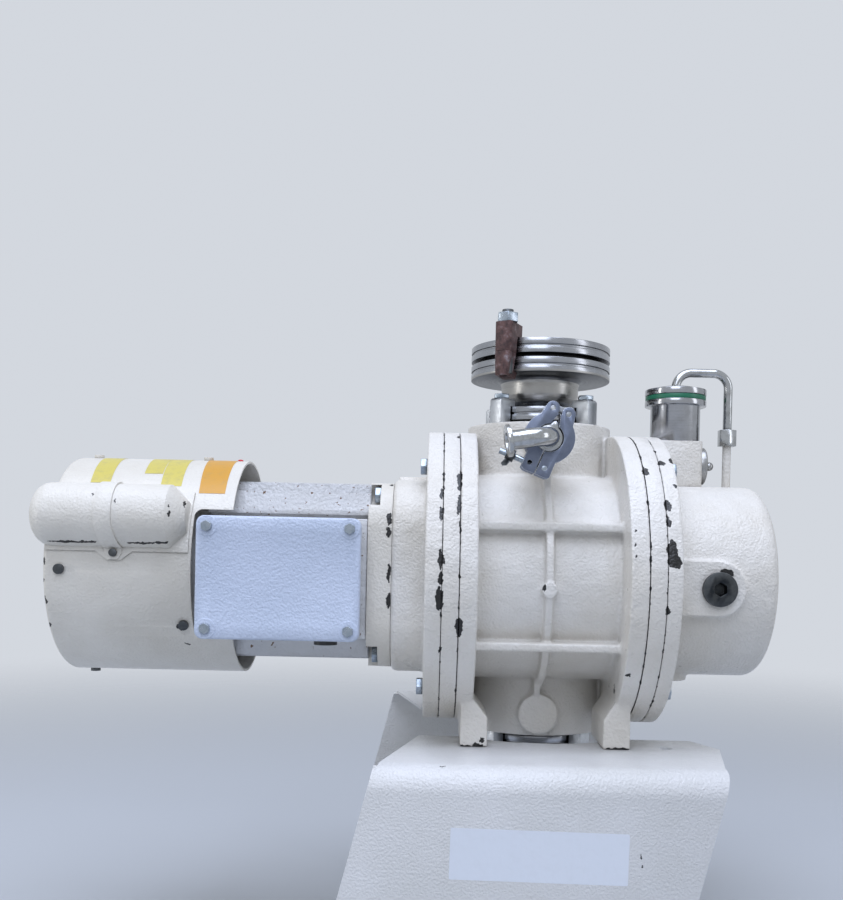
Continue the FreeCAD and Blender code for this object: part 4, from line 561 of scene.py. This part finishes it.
# Clamp: two cast aluminium halves hinged on a link, with a swing bolt and a wing nut.
# The castings are blasted to a cool dark grey, and rubbed nearly white along their edges.
ROUNDING = (0.25, 0.95)
clamp_alloy = metal("blasted_aluminium", "#727989", 0.42, 0.7, 0.06, "#5b6272", 0.5)
rubbed_alloy = metal("rubbed_aluminium", "#dfe3ea", 0.25, 0.6, 0.02, "#a9afba", 0.6)
for part_name in ("clamp_fixed_half", "clamp_swing_half"):
    half = dress(rounded(part_name, 0.6), clamp_alloy, rubbed_alloy)
    for face in half.data.polygons:
        # Only the narrow faces of the rounded edges lean this far.
        if ROUNDING[0] < abs(face.normal.y) < ROUNDING[1]:
            face.material_index = 1
dress(rounded("clamp_link", 0.3), claw_steel)
dress(rounded("swing_bolt", 0.3), zinc_plate)
dress(rounded("wing_nut", 0.5), black_oxide)


# Vent fittings on the gear cover: a painted cast block with a steel disc on its side, and a
# turned canister with a green seal under its lid. A bent tube runs from the lid to a painted
# riser. The steels are bright and ringed by the lathe, and the seal is a flat green rubber.
DISC_AXIS = (-31, 285)
CANISTER_AXIS = (121.5, -31)
dress(rounded("vent_block", 1.5), casing_paint)
disc_steel = turned_steel("turned_disc", "#9c9c9b", 0.3, DISC_AXIS, "X")
dress(rounded("side_disc", 0.4), disc_steel)
canister_steel = turned_steel("turned_canister", "#a7a8ab", 0.16, CANISTER_AXIS)
for part_name in ("canister", "canister_lid"):
    dress(rounded(part_name, 0.4), canister_steel)
dress(rounded("canister_oring", 0.8), rubber("green_rubber", "#14674a", 0.4, "#3c8068"))
dress(rounded("vent_tube", 0.4), tube_steel)
dress(rounded("vent_riser", 0), casing_paint)


# Motor: a cast flange screwed to the drive cover and a shell with ledges along its sides.
# The flange and the sheet parts are enamelled cream. The shell, its shield and the terminal box
# have a cooler grey white, with rust flecks through the coat.
motor_chips = (
    (-133.5, -101, 257.6, 2.4, 4), (-133.5, -127.6, 228, 2.8, 7), (-134, -128.5, 217, 2.4, 6),
    (-133, -128.5, 183.7, 2.8, 10), (-132.8, -128.5, 161.5, 2.6, 10), (-411, -142, 188, 1.8, 4),
    (-410.5, -138, 156, 1.7, 5), (-410.3, -128, 134.9, 1.7, 4), (-411, -142, 172, 1.6, 3),
    (-299.3, -118, 120.7, 3.0, 1.6), (-301.7, -131.5, 135, 7, 6), (-384, -152.3, 203.6, 27, 2.4),
    (-330, -152.3, 203.8, 16, 2.4), (-309, -153.2, 204.2, 15, 2.3),
    (-367.5, -158, 242, 1.0, 1.6), (-348.5, -161, 237, 0.9, 3.2),
    (-306.3, -159.5, 234.4, 1.1, 1.5), (-305.8, -160.7, 227.3, 1.9, 2.4),
    (-297, -148, 236, 1.3, 5), (-165, -155, 131, 6, 1.6))
motor_paint = sprayed_paint("motor_enamel", "#dfdbd2", "#d2cdc2", 2.0, 0.6, 0.36, lumps=0.8,
                            chips=motor_chips)
shell_paint = sprayed_paint("shell_enamel", "#d8d9db", "#c8c8c7", 2.5, 0.7, 0.36, lumps=0.5,
                            rust_above=0.65)
dress(rounded("motor_flange", 1.0), motor_paint)
for part_name in ("motor_housing", "motor_rear_shield", "terminal_box"):
    dress(rounded(part_name, 0.6), shell_paint)
dress(rounded("motor_bolts", 0.5), zinc_plate)
# A flat pad closes the ends of the shell's ledges beside the flange.
PAD_SIZE = (9, 3.4, 99)
PAD_MIDDLE = (-155.8, -125.2, 178)
shape = bmesh.new()
bmesh.ops.create_cube(shape, size=1)
bmesh.ops.scale(shape, vec=Vector(PAD_SIZE) * MM, verts=shape.verts)
bmesh.ops.translate(shape, vec=Vector(PAD_MIDDLE) * MM, verts=shape.verts)
bmesh.ops.bevel(shape, geom=shape.edges, offset=1.0 * MM, offset_type="OFFSET", segments=3,
                profile=0.5, affect="EDGES", clamp_overlap=True, material=-1)
pad = placed(meshed("shell_pad", shape), body=frame["nodes"]["motor_housing"]["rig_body"])
dress(pad, shell_paint)


# Fan and cowl: a moulded fan inside a pressed sheet cowl with air slots in its end. The
# capacitor sits on the cowl under a pressed cover that a sheet strap holds down. The plastic
# parts are a satin black.
for part_name in ("fan_cowl", "capacitor_cover", "cover_strap"):
    dress(rounded(part_name, 0.6), motor_paint)
black_plastic = rubber("black_plastic", "#202122", 0.4)
for part_name in ("cooling_fan", "capacitor", "gland_plug", "terminal_board"):
    dress(rounded(part_name, 0), black_plastic)


# Terminal lid: a diecast lid with a coarse bluish white coat, held by four plated screws in
# round bosses. The screws of the cowl and the strap are dark, and two on top are painted over.
BOSS_X = (-277, -163.5)
BOSS_Y = -155.6
BOSS_Z = (137.25, 218.75)
BOSS_RADIUS = 8.4
BOSS_DEPTH = 3
lid_coat = sprayed_paint("lid_coat", "#c6d0e3", "#bcc7da", 1.9, 0.75, 0.38)
dress(rounded("terminal_lid", 1.6, flat=0.02), lid_coat)
shape = bmesh.new()
for x in BOSS_X:
    for z in BOSS_Z:
        boss = bmesh.ops.create_cone(shape, cap_ends=True, segments=48, radius1=BOSS_RADIUS * MM,
                                     radius2=BOSS_RADIUS * MM, depth=BOSS_DEPTH * MM)["verts"]
        bmesh.ops.rotate(shape, matrix=Matrix.Rotation(math.radians(90), 3, "X"), verts=boss)
        bmesh.ops.translate(shape, vec=Vector((x, BOSS_Y, z)) * MM, verts=boss)
rims = [edge for edge in shape.edges if len(edge.link_faces) == 2
        and edge.calc_face_angle(0) > 1 and edge.verts[0].co.y < BOSS_Y * MM]
bmesh.ops.bevel(shape, geom=rims, offset=0.7 * MM, offset_type="OFFSET", segments=3,
                profile=0.5, affect="EDGES", clamp_overlap=True, material=-1)
bosses = placed(meshed("lid_bosses", shape), body=frame["nodes"]["terminal_lid"]["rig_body"])
dress(bosses, lid_coat)
# The lid's screws lie right of the box's left side and before its front, and those on top of the
# cowl above this height.
BOX_LEFT = -288
BOX_FRONT = -140
COWL_UPPER = 200
small_screws = dress(rounded("motor_screws", 0.4), black_oxide, zinc_plate, motor_paint)
for face in small_screws.data.polygons:
    if face.center.x > BOX_LEFT * MM and face.center.y < BOX_FRONT * MM:
        face.material_index = 1
    elif face.center.z > COWL_UPPER * MM:
        face.material_index = 2


# Labels: printed film stuck round the top of the cowl and a pale foil on the stand, all blank,
# a little dirty, and glossier than the paint. A drop of red locking varnish sits beside them,
# wet looking and bright.
# Lengths are in mm. The labels' upper edges lie 4 degrees behind the top of the cowl.
COWL_AXIS = (-50, 185)
COWL_RADIUS = 93.6
LABEL_LIFT = 0.12
LABEL_TOP = -4
FILM_THICKNESS = 0.08


def film(name, colour, roughness, dirt):
    """Printed film or varnish: an even colour with a soft ripple, and dirt over part of it."""
    material, tree, shader, point = new_finish(name)
    smear = add(tree, "TexNoise", {"Vector": point, "Scale": 1 / (7 * MM), "Detail": 6.0,
                                   "Roughness": 0.65})
    share = add(tree, "MapRange", {0: smear.outputs[0], 1: 0.5, 2: 0.78, 3: 0.0, 4: dirt})
    tone = add(tree, "Mix", {0: share.outputs[0], 6: linear(colour), 7: linear("#8d8673")},
               data_type="RGBA")
    ripple = add(tree, "TexNoise", {"Vector": point, "Scale": 1 / (5 * MM), "Detail": 2.0})
    relief = add(tree, "Bump", {"Height": ripple.outputs[0], "Distance": 0.15 * MM,
                                "Strength": 0.8})
    tree.links.new(tone.outputs[2], shader.inputs["Base Color"])
    tree.links.new(relief.outputs[0], shader.inputs["Normal"])
    shader.inputs["Roughness"].default_value = roughness
    return material


def cowl_label(name, top_left, top_right, low_left, low_right, low_angle, material):
    """Film round the cowl: its corners along the axis, in mm, and how far it comes down, in
    degrees."""
    shape = bmesh.new()
    bmesh.ops.create_grid(shape, x_segments=6, y_segments=18, size=0.5)
    for vert in shape.verts:
        across, down = vert.co.x + 0.5, 0.5 - vert.co.y
        left = top_left + (low_left - top_left) * down
        right = top_right + (low_right - top_right) * down
        angle = math.radians(LABEL_TOP + (low_angle - LABEL_TOP) * down)
        reach = COWL_RADIUS + LABEL_LIFT
        vert.co = Vector((left + (right - left) * across,
                          COWL_AXIS[0] - reach * math.sin(angle),
                          COWL_AXIS[1] + reach * math.cos(angle))) * MM
    bmesh.ops.recalc_face_normals(shape, faces=shape.faces)
    bmesh.ops.solidify(shape, geom=shape.faces, thickness=-FILM_THICKNESS * MM)
    label = placed(meshed(name, shape), body=frame["nodes"]["fan_cowl"]["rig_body"])
    return dress(label, material)


yellow_film = film("yellow_film", "#cbbd5c", 0.4, 0.4)
orange_film = film("orange_film", "#cc952e", 0.4, 0.3)
cowl_label("left_label", -390, -371.5, -384, -367.5, 43, yellow_film)
cowl_label("middle_label", -346.4, -330.4, -342.3, -326.9, 34, yellow_film)
cowl_label("long_label", -330.3, -311.8, -325.1, -307.8, 44.5, yellow_film)
cowl_label("orange_label", -297.8, -271.9, -291.9, -270.3, 49.3, orange_film)

DROP_RADIUS = 2.6
DROP_SHARES = (1, 0.8, 0.55)
DROP_PLACE = (-270, -58, 278.4)
shape = bmesh.new()
bmesh.ops.create_uvsphere(shape, u_segments=20, v_segments=12, radius=DROP_RADIUS * MM)
bmesh.ops.scale(shape, vec=DROP_SHARES, verts=shape.verts)
bmesh.ops.translate(shape, vec=Vector(DROP_PLACE) * MM, verts=shape.verts)
drop = placed(meshed("varnish_drop", shape), body=frame["nodes"]["fan_cowl"]["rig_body"])
dress(drop, film("red_varnish", "#c3202a", 0.25, 0.2))

# The foil is stuck on a little askew.
FOIL_SIZE = (133.7, 38.7, 1)
FOIL_MIDDLE = (-12.9, -209.1, -23.2)
FOIL_LEAN = 1.0
shape = bmesh.new()
bmesh.ops.create_grid(shape, x_segments=1, y_segments=1, size=0.5)
bmesh.ops.scale(shape, vec=Vector(FOIL_SIZE) * MM, verts=shape.verts)
bmesh.ops.bevel(shape, geom=shape.verts, offset=1.2 * MM, offset_type="OFFSET", segments=4,
                profile=0.5, affect="VERTICES", clamp_overlap=True, material=-1)
bmesh.ops.rotate(shape, matrix=Matrix.Rotation(math.radians(90), 3, "X"), verts=shape.verts)
bmesh.ops.rotate(shape, matrix=Matrix.Rotation(math.radians(FOIL_LEAN), 3, "Y"),
                 verts=shape.verts)
bmesh.ops.translate(shape, vec=Vector(FOIL_MIDDLE) * MM, verts=shape.verts)
bmesh.ops.solidify(shape, geom=shape.faces, thickness=FILM_THICKNESS * MM)
bmesh.ops.recalc_face_normals(shape, faces=shape.faces)
foil = placed(meshed("stand_label", shape), body=frame["nodes"]["stand_front_panel"]["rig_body"])
dress(foil, film("pale_foil", "#dde2ea", 0.35, 0.05))


# Studio: a pale matt floor under the stand that fades into a pale surround, and large soft
# lamps above, in front and on both sides. None of it belongs to the pump. Lengths are in metres.
FLOOR_HALF = 4.0
FADE_FROM = 0.55
FADE_TO = 2.6
shape = bmesh.new()
bmesh.ops.create_grid(shape, x_segments=1, y_segments=1, size=FLOOR_HALF)
bmesh.ops.translate(shape, vec=Vector((0, 0, cad_box[0][2])), verts=shape.verts)
floor = bpy.data.objects.new("floor", meshed("floor", shape))
bpy.context.collection.objects.link(floor)
ground, tree, shader, point = new_finish("studio_floor")
shader.inputs["Base Color"].default_value = linear("#c4c8cd")
shader.inputs["Roughness"].default_value = 0.9
flat = add(tree, "VectorMath", {0: point, 1: (1.0, 1.0, 0.0)}, operation="MULTIPLY")
reach = add(tree, "VectorMath", {0: flat.outputs[0]}, operation="LENGTH")
fade = add(tree, "MapRange", {0: reach.outputs["Value"], 1: FADE_FROM, 2: FADE_TO},
           interpolation_type="SMOOTHSTEP")
clear = add(tree, "BsdfTransparent")
both = add(tree, "MixShader", {0: fade.outputs[0], 1: shader.outputs[0], 2: clear.outputs[0]})
tree.links.new(both.outputs[0], tree.nodes["Material Output"].inputs["Surface"])
floor.data.materials.append(ground)

# The surround is even where it is looked at or mirrored. Where it only lights, it is darker, and
# darkest below.
SEEN_STRENGTH = 0.80
world = bpy.data.worlds.new("surround")
world.use_nodes = True
bpy.context.scene.world = world
tree = world.node_tree
sky = tree.nodes["Background"]
ray = add(tree, "LightPath")
seen = add(tree, "Math", {0: ray.outputs["Is Camera Ray"], 1: ray.outputs["Is Transmission Ray"]},
           operation="MAXIMUM")
seen = add(tree, "Math", {0: seen.outputs[0], 1: ray.outputs["Is Glossy Ray"]},
           operation="MAXIMUM")
toward = add(tree, "TexCoord").outputs["Generated"]
height = add(tree, "SeparateXYZ", {0: toward}).outputs[2]
lit = add(tree, "MapRange", {0: height, 1: -0.2, 2: 0.6, 3: 0.05, 4: 0.50})
pale = add(tree, "MapRange", {0: seen.outputs[0], 3: lit.outputs[0], 4: SEEN_STRENGTH})
tree.links.new(pale.outputs[0], sky.inputs["Strength"])
sky.inputs["Color"].default_value = linear("#e9eef6")


def lamp(name, place, target, size, power, colour):
    """A soft rectangular lamp. Its size is its width and height in metres."""
    data = bpy.data.lights.new(name, "AREA")
    data.shape = "RECTANGLE"
    data.size, data.size_y = size
    data.energy = power
    data.color = linear(colour)[:3]
    light = bpy.data.objects.new(name, data)
    bpy.context.collection.objects.link(light)
    light.location = place
    light.rotation_euler = (Vector(target) - Vector(place)).to_track_quat("-Z", "Y").to_euler()


lamp("overhead", (-0.15, -0.6, 1.85), (-0.1, 0, 0.1), (1.8, 1.4), 33, "#dfe8ff")
lamp("key", (-0.35, -1.9, 1.35), (-0.1, 0, 0.15), (1.2, 0.9), 11, "#e4ecff")
lamp("strip", (-1.5, -0.5, 0.5), (0, 0, 0.25), (0.16, 1.2), 3.5, "#ffffff")
lamp("right", (1.5, -0.7, 0.7), (0, 0, 0.2), (0.4, 1.2), 3.5, "#f3f6ff")


# Camera: at the photograph's place, level with the rotor shafts and a metre in front of them.
# Its place and turn were fitted to round rims whose sizes are known. The photograph seems to be
# cropped, as the lens's centre lies off the picture's. These and the focal length are in pixels.
PHOTO_HEIGHT = 900
PHOTO_CENTRE = (421.5, 450)
LENS_CENTRE = (438.2, 560.5)
FOCAL_LENGTH = 1015.1
SENSOR = 36
CAMERA_PLACE = (-0.0953, -0.9618, 0.2057)
pan, tilt, roll = 0.003, -0.013, 0.022
ahead = Vector((math.sin(pan) * math.cos(tilt), math.cos(pan) * math.cos(tilt), math.sin(tilt)))
level = Vector((math.cos(pan), -math.sin(pan), 0))
upright = level.cross(ahead)
right = level * math.cos(roll) + upright * math.sin(roll)
up = upright * math.cos(roll) - level * math.sin(roll)
camera_data = bpy.data.cameras.new("camera")
camera_data.sensor_width = SENSOR
camera_data.lens = FOCAL_LENGTH * SENSOR / PHOTO_HEIGHT
camera_data.shift_x = (PHOTO_CENTRE[0] - LENS_CENTRE[0]) / PHOTO_HEIGHT
camera_data.shift_y = (LENS_CENTRE[1] - PHOTO_CENTRE[1]) / PHOTO_HEIGHT
camera_data.clip_start = 0.05
camera = bpy.data.objects.new("camera", camera_data)
bpy.context.collection.objects.link(camera)
turn = Matrix((right, up, -ahead)).transposed().to_4x4()
camera.matrix_world = Matrix.Translation(CAMERA_PLACE) @ turn
bpy.context.scene.camera = camera
bpy.context.scene.view_settings.view_transform = "Standard"
